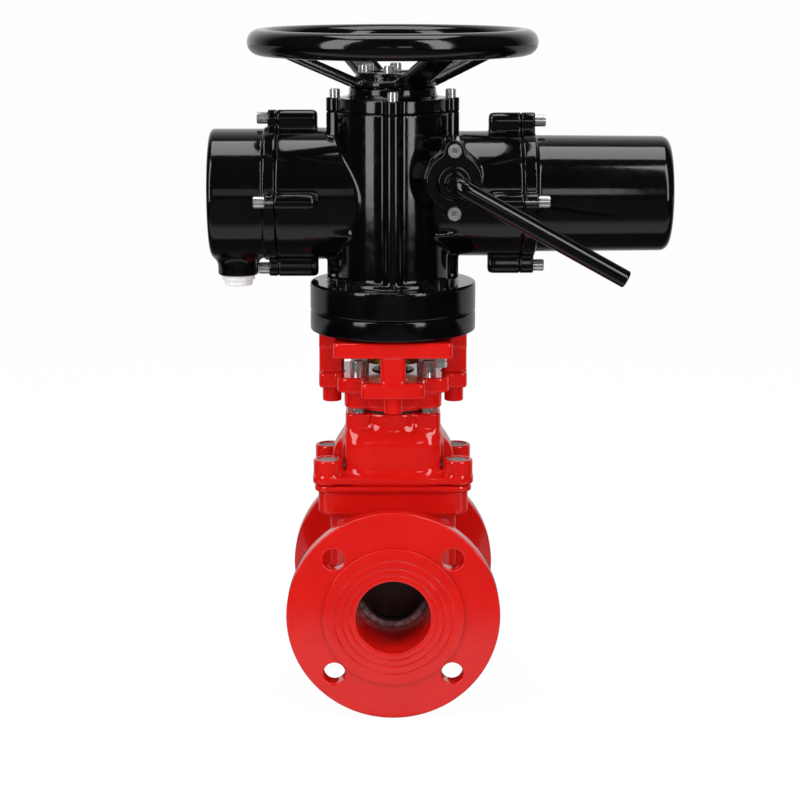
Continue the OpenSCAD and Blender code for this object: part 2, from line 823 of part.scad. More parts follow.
gear_case_z = column_z + 22;
gear_case_h = 25;
gear_case_r = 39;
gear_case_x = 30;
boss_face = -66;
lever_boss_r = 23.5;
lever_cover_t = 6;
lever_ear = 26.3;
ear_r = 8.5;

module lever_boss_plan() {
    circle(lever_boss_r);
    for (s = [-1, 1]) translate([0, s * lever_ear]) circle(ear_r);
    square([2 * ear_r, 2 * lever_ear], center = true);
}

module at_lever() {
    at_stem() translate([lever_x, 0, lever_z]) children();
}

// Plate in the plane of the lever boss, from y0 towards the front by t
module facing(y0, t) {
    translate([0, y0, 0]) rotate([quarter, 0, 0]) linear_extrude(t) children();
}

module case_outside() {
    at_stem() {
        translate([0, 0, foot_z]) round_disc(base_r, foot_t, edge);
        translate([0, 0, column_z - 1]) cylinder(h = 5, r = column_r + rib_r);
        translate([0, 0, column_z - 1]) cylinder(h = column_h + 1, r = column_r - 2);
        quarters() translate([rib_at, 0, column_z - 1]) cylinder(h = column_h + 1, r = rib_r);
        quarters() translate([rib_at - 8, -rib_r, column_z - 1]) cube([8, 2 * rib_r, column_h + 1]);
        translate([0, 0, column_z - 1]) cylinder(h = column_h - 16, r = column_r);
        translate([0, 0, gear_case_z]) linear_extrude(gear_case_h) {
            for (s = [-1, 1]) translate([s * gear_case_x, 0]) circle(gear_case_r);
            square([2 * gear_case_x, 2 * gear_case_r], center = true);
        }
    }
    at_tubes() {
        along_x(-wire_reach, 0, wire_r);
        along_x(0, motor_reach, motor_r);
        lugs(-wire_reach, -wire_reach + 36, wire_lug, wire_r);
        lugs(motor_reach - 29, motor_reach, motor_lug, motor_r);
    }
    at_lever() facing(-20, -boss_face - 20) lever_boss_plan();
}

module case_inside() {
    at_stem() {
        translate([0, 0, foot_z - 1]) cylinder(h = race_top - foot_z + 1, r = bearing_out);
        translate([0, 0, foot_z]) cylinder(h = foot_t + 10, r = bush_r + 4.7 + run_fit);
        translate([0, 0, column_z + 5]) cylinder(h = column_h, r = bore_wall);
    }
    at_tubes() {
        along_x(-wire_reach - 1, web_left, wire_in);
        along_x(web_left + web_t, web_right, motor_in);
        along_x(web_right + web_t, motor_reach + 1, motor_in);
    }
    at_stem() translate([0, worm_y, axis_z]) {
        along_x(web_left + 2, web_left + web_t + 1, bearing_r);
        along_x(web_right - 1, web_right + web_t + 1, bearing_r);
    }
}

module actuator_housing() {
    color(black) difference() {
        union() {
            difference() {
                case_outside();
                case_inside();
            }
            fork_boss();
        }
        at_stem() {
            translate([0, 0, cover_z]) quarters() translate([rib_at, 0, 0]) screw_hole(m6, 1, 28);
            rotate([0, 0, 45]) quarters() translate([base_pcd / 2, 0, foot_z - 1])
                cylinder(h = foot_t + 2, r = m8[0] + screw_gap);
            rotate([0, 0, 45]) quarters() translate([base_pcd / 2, 0, column_z])
                cylinder(h = 12, r = m8[1] + 0.4);
        }
        at_stem() for (x = fork_pins) translate([x, pin_y, axis_z]) cylinder(h = 20, r = pin_r);
        at_tubes() {
            lug_holes(-wire_reach - 1, -wire_reach + 24, wire_lug, m6[0] + 0.1);
            lug_holes(motor_reach - 22, motor_reach + 1, motor_lug, m6[0] + 0.1);
        }
        at_lever() {
            along_y(boss_face - 1, -10, shaft_lever_r + run_fit);
            for (s = [-1, 1]) translate([0, 0, s * lever_ear]) along_y(boss_face - 1, boss_face + 16, m6[0] + 0.1);
        }
    }
}

// Bracket inside the case that carries the fork's guide pins
module fork_boss() {
    at_stem() for (x = fork_pins) translate([x - 5, -42, axis_z + 8.8]) cube([10, 18, 5]);
}

// ---------------------------------------------------------------- worm gear
tooth_low = 1.15;
tooth_high = 0.85;

// Straight-flanked tooth, its pitch width w at x = 0, pointing along +X
module tooth(m, w, low, high) {
    slope = tan(20);
    polygon([[-low * m - 0.6, -w / 2 - slope * low * m], [-low * m, -w / 2 - slope * low * m],
        [high * m, -w / 2 + slope * high * m], [high * m, w / 2 - slope * high * m],
        [-low * m, w / 2 + slope * low * m], [-low * m - 0.6, w / 2 + slope * low * m]]);
}

lead_angle = atan(gear_m / worm_pd);
wheel_z = axis_z;
backlash = 0.7;

module worm_wheel() {
    color(brass) at_stem() difference() {
        union() {
            translate([0, 0, wheel_z - wheel_face / 2]) cylinder(h = wheel_face, r = wheel_r - tooth_low * gear_m);
            translate([0, 0, shoulder_z + 0.02]) cylinder(h = axis_z + 14 - shoulder_z, r = shaft_r + 6);
            for (i = [0 : wheel_teeth - 1]) rotate([0, 0, 90 + i * 360 / wheel_teeth])
                translate([wheel_r, 0, wheel_z]) rotate([-lead_angle, 0, 0])
                    translate([0, 0, -wheel_face / 2 + 1]) linear_extrude(wheel_face - 2)
                        tooth(gear_m, PI * gear_m / 2 - backlash, tooth_low, tooth_high);
        }
        translate([0, 0, shoulder_z - 1]) cylinder(h = 60, r = shaft_r + run_fit);
    }
}

thread_l = 26;
thread_steps = 12;
// Radius of the worm's cross-section at angle a: one thread, flat top and straight flanks
function thread_r(a) = let (
        pitch = PI * gear_m,
        s = abs(((a / 360 + 0.5) % 1) - 0.5) * pitch,
        half = (pitch / 2 - backlash) / 2,
        up = (half - s) / tan(20))
    worm_r + max(-tooth_low * gear_m, min(tooth_high * gear_m, up));

module worm_shaft() {
    color(steel) at_stem() translate([0, worm_y, axis_z]) {
        rotate([0, quarter, 0]) translate([0, 0, -thread_l / 2])
            linear_extrude(thread_l, twist = -360 * thread_l / (PI * gear_m), slices = 48, convexity = 6, $fn = 16)
                rotate([0, 0, worm_phase]) polygon([for (i = [0 : thread_steps * 2 - 1])
                    let (a = i * 180 / thread_steps) [thread_r(a) * cos(a), thread_r(a) * sin(a)]]);
        along_x(web_left + 2.5, spur_x + spur_t + 2, worm_bore);
    }
}
worm_phase = 65;

module worm_bearings() {
    color(steel) at_stem() translate([0, worm_y, axis_z]) for (x = [web_left + 2, web_right])
        difference() {
            along_x(x, x + web_t - 2, bearing_r - 0.02);
            along_x(x - 1, x + web_t, worm_bore + run_fit);
        }
}

module spur(teeth, r, phase, bore) {
    rotate([0, quarter, 0]) difference() {
        union() {
            cylinder(h = spur_t, r = r - tooth_low * spur_m);
            for (i = [0 : teeth - 1]) rotate([0, 0, phase + i * 360 / teeth]) translate([r, 0, 0.3])
                linear_extrude(spur_t - 0.6) tooth(spur_m, PI * spur_m / 2 - 0.8, tooth_low, tooth_high - 0.1);
        }
        translate([0, 0, -1]) cylinder(h = spur_t + 2, r = bore);
    }
}

module worm_spur_gear() {
    color(steel) at_stem() translate([spur_x, worm_y, axis_z]) spur(spur_teeth, spur_r, -90, worm_bore);
}

module motor_pinion() {
    color(steel) at_tubes() translate([spur_x, 0, 0])
        spur(pinion_teeth, pinion_r, 90 + 180 / pinion_teeth, rotor_shaft);
}

// ---------------------------------------------------------------- motor
rotor_shaft = 4;
shield_x = motor_reach - 10;
shield_t = 10;
ring_len = 12;
body_r = 50.5;
cover_end = motor_reach + motor_cover_l;
rotor_x = motor_reach + 24;
rotor_len = 70;
motor_bearing = 11;

module motor_end_shield() {
    color(grey) at_tubes() difference() {
        along_x(shield_x, shield_x + shield_t, motor_in - 0.05);
        along_x(shield_x - 1, shield_x + shield_t + 1, rotor_shaft + 2);
        along_x(shield_x + 2, shield_x + shield_t + 1, motor_bearing);
    }
}

module motor_bearings() {
    color(steel) at_tubes() for (x = [shield_x + 2, cover_end - case_wall - 8]) difference() {
        along_x(x, x + 8, motor_bearing - 0.02);
        along_x(x - 1, x + 9, rotor_shaft + 2 + run_fit);
    }
}

module motor_rotor() {
    color(dark_steel) at_tubes() {
        along_x(spur_x - 1, shield_x + 1, rotor_shaft);
        along_x(shield_x, cover_end - case_wall - 1, rotor_shaft + 1.5);
        along_x(shield_x + 3, cover_end - case_wall - 1, rotor_shaft + 2);
        along_x(rotor_x, rotor_x + rotor_len, 26);
    }
}

stator_in = 27;
module motor_stator() {
    color(dark_steel) at_tubes() difference() {
        union() {
            along_x(rotor_x, rotor_x + rotor_len, body_r - case_wall + 0.9);
            along_x(rotor_x - 9, rotor_x + rotor_len + 9, body_r - case_wall - 5);
        }
        along_x(rotor_x - 10, rotor_x + rotor_len + 10, stator_in);
    }
}

// Round cover along +X: outline [radius, distance], wall and a rounded end
module cover_shell(r0, r1, len, wall, round) {
    rotate([0, quarter, 0]) difference() {
        rotate_extrude() polygon(concat([[0, 0], [r0, 0]],
            arc([r1 - round, len - round], round, 0, 90, 5), [[0, len]]));
        translate([0, 0, -1]) rotate_extrude() polygon(concat([[0, 0], [r0 - wall, 0]],
            arc([r1 - wall - round * 0.6, len - wall - round * 0.6 + 1], round * 0.6, 0, 90, 5),
            [[0, len - wall + 1]]));
    }
}

module motor_cover() {
    color(black) at_tubes() difference() {
        union() {
            translate([motor_reach + ring_len - 1, 0, 0])
                cover_shell(body_r + 0.5, body_r - 0.5, motor_cover_l - ring_len + 1, case_wall - 1.5, 8);
            difference() {
                union() {
                    along_x(motor_reach, motor_reach + ring_len, motor_r + 0.8);
                    lugs(motor_reach, motor_reach + ring_len, motor_lug, motor_r);
                }
                along_x(motor_reach - 1, motor_reach + ring_len + 1, body_r + 0.5 - case_wall + 1.5);
            }
            difference() {
                along_x(cover_end - case_wall - 10, cover_end - case_wall + 2, motor_bearing + 4);
                along_x(cover_end - case_wall - 11, cover_end - case_wall, motor_bearing);
            }
        }
        lug_holes(motor_reach - 1, motor_reach + ring_len + 1, motor_lug, m6[0] + screw_gap);
        seal_groove(motor_reach, 1, motor_in + 0.1);
    }
}

// Groove for a round cord seal in a joint face; the cord is proud by nothing
module seal_groove(x, dir, r) {
    along_x(x - (dir > 0 ? 1 : 2), x + (dir > 0 ? 2 : 1), r + 2.4);
}

module cord_seal(x0, r) {
    difference() {
        along_x(x0, x0 + 2, r + 2.35);
        along_x(x0 - 1, x0 + 3, r);
    }
}

module motor_cover_seal() {
    color(rubber) at_tubes() cord_seal(motor_reach, motor_in + 0.1);
}

module motor_cover_screws() {
    color(steel) at_tubes() for (a = [0 : 90 : 270]) rotate([a, 0, 0])
        translate([motor_reach + ring_len, 0, motor_lug]) rotate([0, quarter, 0]) cap_screw(m6_long, ring_len + 18);
}

// ---------------------------------------------------------------- electrical side
wire_end = -wire_reach - wire_cover_l;
cable_x = -wire_reach - 35.6;
cable_r = 17.8;
cable_z = -wire_r - 14;
plug_r = 10;

module electrical_cover() {
    color(black) at_tubes() difference() {
        union() {
            mirror([1, 0, 0]) translate([wire_reach + ring_len - 2, 0, 0])
                cover_shell(wire_r - 0.8, wire_r - 1.2, wire_cover_l - ring_len + 2, case_wall - 1.5, 9);
            difference() {
                union() {
                    along_x(-wire_reach - ring_len + 1, -wire_reach, wire_r + 0.8);
                    lugs(-wire_reach - ring_len + 4, -wire_reach, wire_lug, wire_r);
                }
                along_x(-wire_reach - ring_len, -wire_reach + 1, wire_in - 1);
            }
            difference() {
                translate([cable_x, 0, cable_z]) cylinder(h = -cable_z, r = cable_r);
                along_x(wire_end, -wire_reach, wire_in);
            }
        }
        translate([cable_x, 0, cable_z - 1]) cylinder(h = -cable_z - 20, r = plug_r);
        lug_holes(-wire_reach - ring_len, -wire_reach + 1, wire_lug, m6[0] + screw_gap);
        seal_groove(-wire_reach, -1, wire_in + 0.1);
    }
}

module electrical_cover_seal() {
    color(rubber) at_tubes() cord_seal(-wire_reach - 2, wire_in + 0.1);
}

module electrical_cover_screws() {
    color(steel) at_tubes() for (a = [0 : 90 : 270]) rotate([a, 0, 0])
        translate([-wire_reach - ring_len + 4, 0, wire_lug]) rotate([0, -quarter, 0])
            cap_screw(m6_long, ring_len + 16);
}

module cable_plug() {
    color(white) at_tubes() translate([cable_x, 0, cable_z]) {
        cylinder(h = 12, r = plug_r - 0.05);
        translate([0, 0, -4]) cylinder(h = 4, r = 14.5);
        translate([0, 0, -9.5]) round_disc(12.3, 6, 1.5);
    }
}

module control_board() {
    color("#1f6b3a") at_tubes() {
        translate([web_left - 18, -30, -32]) cube([2, 60, 64]);
        for (y = [-22, 22], z = [-24, 24]) translate([0, y, z]) along_x(web_left - 16, web_left, 3);
    }
}

module terminal_block() {
    color(grey) at_tubes() difference() {
        translate([web_left - 34, -24, -14]) cube([16, 48, 28]);
        for (y = [-18 : 9 : 18], z = [-7, 7]) translate([0, y, z]) along_x(web_left - 36, web_left - 26, 2.5);
    }
}

// ---------------------------------------------------------------- top cover and hand drive
neck_r = 37.5;
spigot_h = 6;
top_z0 = cover_z + 0;

module top_cover() {
    color(black) at_stem() difference() {
        union() {
            translate([0, 0, top_z0]) linear_extrude(cover_t) {
                circle(column_r - 2);
                for (a = [0 : 90 : 270]) rotate(a) {
                    translate([rib_at, 0]) circle(rib_r);
                    translate([rib_at - 8, -rib_r]) square([8, 2 * rib_r]);
                }
            }
            translate([0, 0, top_z0 + cover_t]) rotate_extrude() polygon(concat([[0, -1], [neck_r + 5, -1]],
                arc([neck_r + 5, 5], 5, -90, -180, 5), [[neck_r, collar_h - 1], [0, collar_h - 1]]));
            translate([0, 0, top_z0 - spigot_h]) cylinder(h = spigot_h + 1, r = bore_wall - 0.1);
        }
        translate([0, 0, top_z0 - spigot_h - 1]) cylinder(h = 60, r = hand_r + run_fit);
        translate([0, 0, top_z0 - spigot_h - 1]) cylinder(h = 9, r = bore_wall - 8);
        translate([0, 0, top_z0 + cover_t + collar_h - 1 - 7]) cylinder(h = 9, r = 22);
        quarters() translate([rib_at, 0, top_z0 - 1]) cylinder(h = cover_t + 2, r = m6[0] + screw_gap);
        translate([0, 0, top_z0 - 4]) seal_band(bore_wall - 2, bore_wall + 1, 2.4);
    }
}

module seal_band(r0, r1, h) {
    difference() {
        cylinder(h = h, r = r1);
        translate([0, 0, -1]) cylinder(h = h + 2, r = r0);
    }
}

module top_cover_seal() {
    color(rubber) at_stem() translate([0, 0, top_z0 - 3.9]) seal_band(bore_wall - 2, bore_wall - 0.05, 2.2);
}

module top_cover_screws() {
    color(steel) at_stem() quarters() translate([rib_at, 0, top_z0 + cover_t]) cap_screw([3, 4.6, 7.4], cover_t + 20);
}

module hand_shaft() {
    color(steel) at_stem() difference() {
        union() {
            translate([0, 0, hand_z - 12]) cylinder(h = 14, r = shaft_bore - run_fit);
            translate([0, 0, hand_z]) cylinder(h = 6, r = clutch_r);
            translate([0, 0, hand_z]) cylinder(h = top_z0 + 1.7 - hand_z, r = hand_r + 3);
            translate([0, 0, hand_z]) cylinder(h = hub_face_z - hand_z, r = hand_r);
            translate([0, 0, hub_face_z - 1]) cylinder(h = 14, r = 11);
        }
        translate([0, 0, hub_face_z - 10]) cylinder(h = 30, r = 5);
    }
}

module hand_shaft_seal() {
    color(rubber) at_stem() translate([0, 0, top_z0 + cover_t + collar_h - 1 - 7]) difference() {
        cylinder(h = 6.5, r = 22 - 0.05);
        translate([0, 0, -1]) cylinder(h = 9, r = hand_r + run_fit);
    }
}

// ---------------------------------------------------------------- clutch
fork_groove_r = 25;
fork_t = 5;
fork_z = clutch_z + clutch_t / 2 - fork_t / 2;
fork_pins = [-20, 20];
pin_y = -28;
pin_r = 2;

module clutch_ring() {
    color(steel) at_stem() difference() {
        translate([0, 0, clutch_z]) cylinder(h = clutch_t, r = clutch_r);
        translate([0, 0, clutch_z - 1]) cylinder(h = clutch_t + 2, r = shaft_r + run_fit);
        for (a = [0, 180]) rotate([0, 0, a]) translate([shaft_r - 2, -3.3, clutch_z - 1])
            cube([4.5, 6.6, clutch_t + 2]);
        translate([0, 0, clutch_z + (clutch_t - groove_t) / 2]) seal_band(fork_groove_r, clutch_r + 1, groove_t);
    }
}

slot_end = -9;
module clutch_fork() {
    color(dark_steel) at_stem() difference() {
        union() {
            translate([0, 0, fork_z]) linear_extrude(fork_t) difference() {
                union() {
                    intersection() {
                        circle(fork_groove_r + 13.5);
                        translate([-50, -60]) square([100, 62]);
                    }
                    translate([20, -17]) square([19.5, 8]);
                }
                circle(fork_groove_r + 0.6);
                translate([-fork_groove_r - 0.6, 0]) square([2 * fork_groove_r + 1.2, 20]);
            }
            translate([31, -17, fork_z - 12]) cube([8.5, 8, 25]);
        }
        translate([lever_x - crank_r - 3.6, -18, lever_z - sin(crank_half) * crank_r - 3.4])
            cube([20, 10, 6.8]);
        for (x = fork_pins) translate([x, pin_y, fork_z - 1]) cylinder(h = fork_t + 2, r = pin_r + run_fit);
    }
}

module fork_guide_pins() {
    color(steel) at_stem() for (x = fork_pins) translate([x, pin_y, axis_z + 8.8])
        cylinder(h = fork_z + fork_t + clutch_lift + 1.5 - axis_z - 8.8, r = pin_r);
}

shaft_lever_r = 9;
module lever_shaft() {
    color(steel) at_lever() {
        along_y(boss_face - lever_cover_t - 0.5, -20, shaft_lever_r);
        rotate([0, -crank_half, 0]) translate([-crank_r, -22, -4]) cube([crank_r, 4.5, 8]);
        rotate([0, -crank_half, 0]) translate([-crank_r, 0, 0]) along_y(-21, slot_end, 3);
    }
}

module lever_cover() {
    color(black) at_lever() difference() {
        facing(boss_face, lever_cover_t) lever_boss_plan();
        along_y(boss_face - lever_cover_t - 1, boss_face + 1, 14.5);
        for (s = [-1, 1]) translate([0, 0, s * lever_ear])
            along_y(boss_face - lever_cover_t - 1, boss_face + 1, m6[0] + screw_gap);
    }
}

module lever_cover_seal() {
    color(rubber) at_lever() difference() {
        along_y(boss_face - 3, boss_face, 14.45);
        along_y(boss_face - 4, boss_face + 1, shaft_lever_r + run_fit);
    }
}

module lever_cover_screws() {
    color(steel) at_lever() for (s = [-1, 1]) translate([0, boss_face - lever_cover_t, s * lever_ear])
        rotate([quarter, 0, 0]) cap_screw([3, 5.6, 6], lever_cover_t + 14);
}

lever_r = lever_d / 2;
lever_out = boss_face - lever_cover_t - 6;
bend_r = 14;
module clutch_lever() {
    color(black) at_lever() difference() {
        union() {
            along_y(boss_face - lever_cover_t - 5, boss_face - 3.3, 13.7);
            rotate([0, lever_drop, 0]) {
                along_y(lever_out, boss_face - lever_cover_t, lever_r);
                translate([bend_r, lever_out, 0]) rotate([0, 0, 180]) rotate_extrude(angle = 90)
                    translate([bend_r, 0]) circle(lever_r);
                translate([0, lever_out - bend_r, 0]) along_x(bend_r, lever_l, lever_r);
            }
        }
        along_y(boss_face - lever_cover_t - 0.5, boss_face, shaft_lever_r);
    }
}

// ---------------------------------------------------------------- handwheel
rim_r = rim_d / 2;
rim_c = wheel_d / 2 - rim_r;
rim_z = hub_face_z + rim_up;
hub_r = 37.5;
hub_t = 5.2;
clamp_r = 30;
clamp_t = 6;
spoke_t = 4;
spoke_rise = rim_up - 4;

// Side outline of a spoke: foot flat on the hub, then straight up to the rim
module spoke_side(t, drop) {
    polygon([[20, -drop], [hub_r - 3, -drop], [rim_c, spoke_rise - drop],
        [rim_c, spoke_rise - drop + t], [hub_r - 4, t - drop], [20, t - drop]]);
}

module spoke_bar(w, t, drop) {
    rotate([quarter, 0, 0]) translate([0, 0, -w / 2]) linear_extrude(w) spoke_side(t, drop);
}

module handwheel() {
    color(black) at_stem() translate([0, 0, hub_face_z]) difference() {
        union() {
            translate([0, 0, rim_up]) rotate_extrude() translate([rim_c, 0]) circle(rim_r);
            cylinder(h = hub_t, r = hub_r);
            cylinder(h = hub_t + 2, r = hub_r - 5);
            translate([0, 0, hub_t + 1]) cylinder(h = clamp_t, r = clamp_r + 2);
            rotate([0, 0, spoke_turn]) quarters(spokes) {
                spoke_bar(spoke_w, spoke_t, 0);
                for (s = [-1, 1]) translate([0, s * (spoke_w / 2 - 1.5), 0]) spoke_bar(3, spoke_t + 3, 1.5);
            }
        }
        translate([0, 0, -10]) cylinder(h = 10, r = 200);
        translate([0, 0, -1]) cylinder(h = 14, r = 11);
        translate([0, 0, hub_t + clamp_t - 1]) cylinder(h = 4, r = 20);
        rotate([0, 0, spoke_turn]) quarters(6) translate([hub_r - 11, 0, hub_t - 3])
            cylinder(h = 12, r = 3.1);
    }
}

module handwheel_screws() {
    color(steel) at_stem() translate([0, 0, hub_face_z + hub_t + clamp_t + 1]) rotate([0, 0, spoke_turn])
        quarters(6) translate([hub_r - 11, 0, 0]) cap_screw([3, 5, 6], 9);
}

valve_body();
bonnet();
bonnet_gasket();
bonnet_screws();
screw_wax_plugs();
wedge_core();
wedge_rubber();
wedge_nut();
stem();
stem_thrust_washers();
stem_seal_carrier();
stem_o_rings();
dust_wiper();
neck_gasket();
yoke();
neck_screws();
earth_screw();
neck_spring_washers();
yoke_screws();
base_ring();
base_screws();
drive_bush();
stem_key();
output_shaft();
thrust_bearings();
actuator_housing();
worm_wheel();
worm_shaft();
worm_bearings();
worm_spur_gear();
motor_pinion();
motor_rotor();
motor_bearings();
motor_end_shield();
motor_stator();
motor_cover();
motor_cover_seal();
motor_cover_screws();
electrical_cover();
electrical_cover_seal();
electrical_cover_screws();
control_board();
terminal_block();
cable_plug();
top_cover();
top_cover_seal();
top_cover_screws();
hand_shaft();
hand_shaft_seal();
clutch_ring();
clutch_fork();
fork_guide_pins();
lever_shaft();
lever_cover();
lever_cover_seal();
lever_cover_screws();
clutch_lever();
handwheel();
handwheel_screws();
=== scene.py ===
"""Looks of a motor-operated gate valve: cast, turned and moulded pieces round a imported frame.

Lengths are in millimetres until a mesh, a lamp or a shader takes them. Castings are distance
functions about the stem's axis: x to the right, y away from the front, z up, negative inside.
"""
import json
import math

import bpy
import numpy as np
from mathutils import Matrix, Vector


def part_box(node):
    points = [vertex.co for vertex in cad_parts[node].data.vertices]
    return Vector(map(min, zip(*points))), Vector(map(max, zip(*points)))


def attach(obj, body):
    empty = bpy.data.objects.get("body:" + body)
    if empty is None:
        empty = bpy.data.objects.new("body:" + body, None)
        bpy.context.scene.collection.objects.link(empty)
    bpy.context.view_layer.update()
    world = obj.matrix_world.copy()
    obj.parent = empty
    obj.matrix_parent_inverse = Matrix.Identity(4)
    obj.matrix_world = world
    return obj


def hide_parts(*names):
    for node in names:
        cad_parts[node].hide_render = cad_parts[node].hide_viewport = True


MM = 0.001
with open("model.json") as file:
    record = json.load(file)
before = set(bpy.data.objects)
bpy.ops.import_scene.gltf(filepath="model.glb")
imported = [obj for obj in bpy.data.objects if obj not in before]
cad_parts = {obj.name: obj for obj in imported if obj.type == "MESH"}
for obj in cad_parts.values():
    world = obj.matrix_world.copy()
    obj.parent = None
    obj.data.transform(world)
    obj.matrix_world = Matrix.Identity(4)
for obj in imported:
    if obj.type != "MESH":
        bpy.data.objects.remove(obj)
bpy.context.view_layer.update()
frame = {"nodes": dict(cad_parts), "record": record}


# ------------------------------------------------------------------ sizes taken from the frame
def box_mm(node):
    """Lowest and highest corner of a CAD node, in millimetres."""
    lo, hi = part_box(node)
    return np.array(lo) / MM, np.array(hi) / MM


base_lo, base_hi = box_mm("base_ring")
body_lo, body_hi = box_mm("valve_body")
house_lo, house_hi = box_mm("actuator_housing")
wheel_lo, wheel_hi = box_mm("handwheel")
wire_lo, wire_hi = box_mm("electrical_cover")
motor_lo, motor_hi = box_mm("motor_cover")
lever_lo, lever_hi = box_mm("lever_cover")
rod_lo, rod_hi = box_mm("clutch_lever")
seal_lo, seal_hi = box_mm("motor_cover_seal")

STEM_Y = (base_lo[1] + base_hi[1]) / 2
HALF_L = (body_hi[1] - body_lo[1]) / 2
FLANGE_R = (body_hi[0] - body_lo[0]) / 2
FLOOR_Z = body_lo[2]
JOINT_Z = body_hi[2]
NECK_TOP = box_mm("bonnet")[1][2]
HUB_Z = box_mm("yoke")[0][2]
BASE_Z, FOOT_Z = base_lo[2], base_hi[2]
BASE_R = (base_hi[0] - base_lo[0]) / 2
COLUMN_Z = FOOT_Z + 25.2
COVER_Z = house_hi[2]
COVER_TOP = box_mm("top_cover")[1][2]
TUBE_Y = (seal_lo[1] + seal_hi[1]) / 2 - STEM_Y
TUBE_Z = (seal_lo[2] + seal_hi[2]) / 2
WIRE_END, WIRE_X = wire_lo[0], wire_hi[0]
MOTOR_X, MOTOR_END = motor_lo[0], motor_hi[0]
LEVER_X = (lever_lo[0] + lever_hi[0]) / 2
LEVER_Z = (lever_lo[2] + lever_hi[2]) / 2
LEVER_FACE = lever_lo[1] - STEM_Y
HUB_FACE = wheel_lo[2]
WHEEL_R = (wheel_hi[0] - wheel_lo[0]) / 2


# ------------------------------------------------------------------ shader nodes
def linear(code):
    """sRGB hex to linear red, green, blue, alpha: the sRGB curve undone channel by channel."""
    c = np.array([int(code[i:i + 2], 16) for i in (1, 3, 5)]) / 255
    c = np.where(c <= 0.04045, c / 12.92, ((c + 0.055) / 1.055) ** 2.4)
    return (*c.tolist(), 1.0)


def add_node(tree, kind, settings=None, links=None):
    """A shader node with its attributes or socket values set, and its inputs linked."""
    node = tree.nodes.new(kind)
    for key, value in (settings or {}).items():
        if isinstance(key, str) and hasattr(node, key):
            setattr(node, key, value)
        else:
            node.inputs[key].default_value = value
    for key, source in (links or {}).items():
        tree.links.new(source, node.inputs[key])
    return node


def arithmetic(tree, operation, first, second=None):
    """Math node on a socket and, where one is given, a second socket or a number."""
    settings, links = {"operation": operation}, {0: first}
    if isinstance(second, bpy.types.NodeSocket):
        links[1] = second
    elif second is not None:
        settings[1] = second
    return add_node(tree, "ShaderNodeMath", settings, links).outputs[0]


def seen_directly(tree, path):
    """1 for rays from the camera or through glass, otherwise 0."""
    return arithmetic(tree, "MAXIMUM", path.outputs["Is Camera Ray"],
                      path.outputs["Is Transmission Ray"])


def new_material(name):
    """An empty node material with its output, its Principled shader and Object coordinates."""
    material = bpy.data.materials.new(name)
    material.use_nodes = True
    tree = material.node_tree
    tree.nodes.clear()
    coords = add_node(tree, "ShaderNodeTexCoord").outputs["Object"]
    shader = add_node(tree, "ShaderNodeBsdfPrincipled")
    add_node(tree, "ShaderNodeOutputMaterial", None, {"Surface": shader.outputs["BSDF"]})
    return material, tree, coords, shader


def noise(tree, coords, size_mm, detail=2.0, rough=0.5):
    """Noise whose features are about size_mm across."""
    settings = {"Scale": 1000.0 / size_mm, "Detail": detail, "Roughness": rough}
    return add_node(tree, "ShaderNodeTexNoise", settings, {"Vector": coords}).outputs["Fac"]


def remap(tree, value, lo, hi, out_lo, out_hi):
    """Value carried from lo..hi to out_lo..out_hi, clamped."""
    settings = {"From Min": lo, "From Max": hi, "To Min": out_lo, "To Max": out_hi}
    return add_node(tree, "ShaderNodeMapRange", settings, {"Value": value}).outputs["Result"]


def spread(tree, tone, low, high):
    """A noise, which mostly keeps between 0.3 and 0.7, carried to low..high."""
    return remap(tree, tone, 0.3, 0.7, low, high)


def colour_by(tree, shader, tone, low, high):
    """Base colour on a ramp between two hex colours, by a noise."""
    ramp = add_node(tree, "ShaderNodeValToRGB", None, {"Fac": spread(tree, tone, 0.0, 1.0)})
    ramp.color_ramp.elements[0].color = linear(low)
    ramp.color_ramp.elements[1].color = linear(high)
    tree.links.new(ramp.outputs["Color"], shader.inputs["Base Color"])


def roughness_by(tree, shader, tone, low, high):
    """Roughness between two values, by a noise."""
    tree.links.new(spread(tree, tone, low, high), shader.inputs["Roughness"])


def bump(tree, height, strength, depth_mm, normal=None):
    """Bump of a depth in millimetres."""
    links = {"Height": height}
    if normal is not None:
        links["Normal"] = normal
    settings = {"Strength": strength, "Distance": depth_mm * MM}
    return add_node(tree, "ShaderNodeBump", settings, links).outputs["Normal"]


# ------------------------------------------------------------------ materials
PAINT_IOR = 1.5
LIP_R = 27.5
LIP_FADE = 0.0012


def red_epoxy(name="red_epoxy_on_cast_iron", waves_mm=0.16):
    """Fusion-bonded epoxy on iron: glossy, with orange peel over the slow waves of a sand casting."""
    material, tree, coords, shader = new_material(name)
    colour_by(tree, shader, noise(tree, coords, 30.0, 3.0), "#cf130e", "#d81812")
    roughness_by(tree, shader, noise(tree, coords, 6.0, 3.0), 0.06, 0.12)
    waves = bump(tree, noise(tree, coords, 14.0, 1.0), 0.5, waves_mm)
    peel = bump(tree, noise(tree, coords, 2.4, 1.0), 0.35, 0.03, waves)
    tree.links.new(peel, shader.inputs["Normal"])
    shader.inputs["IOR"].default_value = PAINT_IOR
    shader.inputs["Coat Weight"].default_value = 0.3
    shader.inputs["Coat Roughness"].default_value = 0.06
    return material


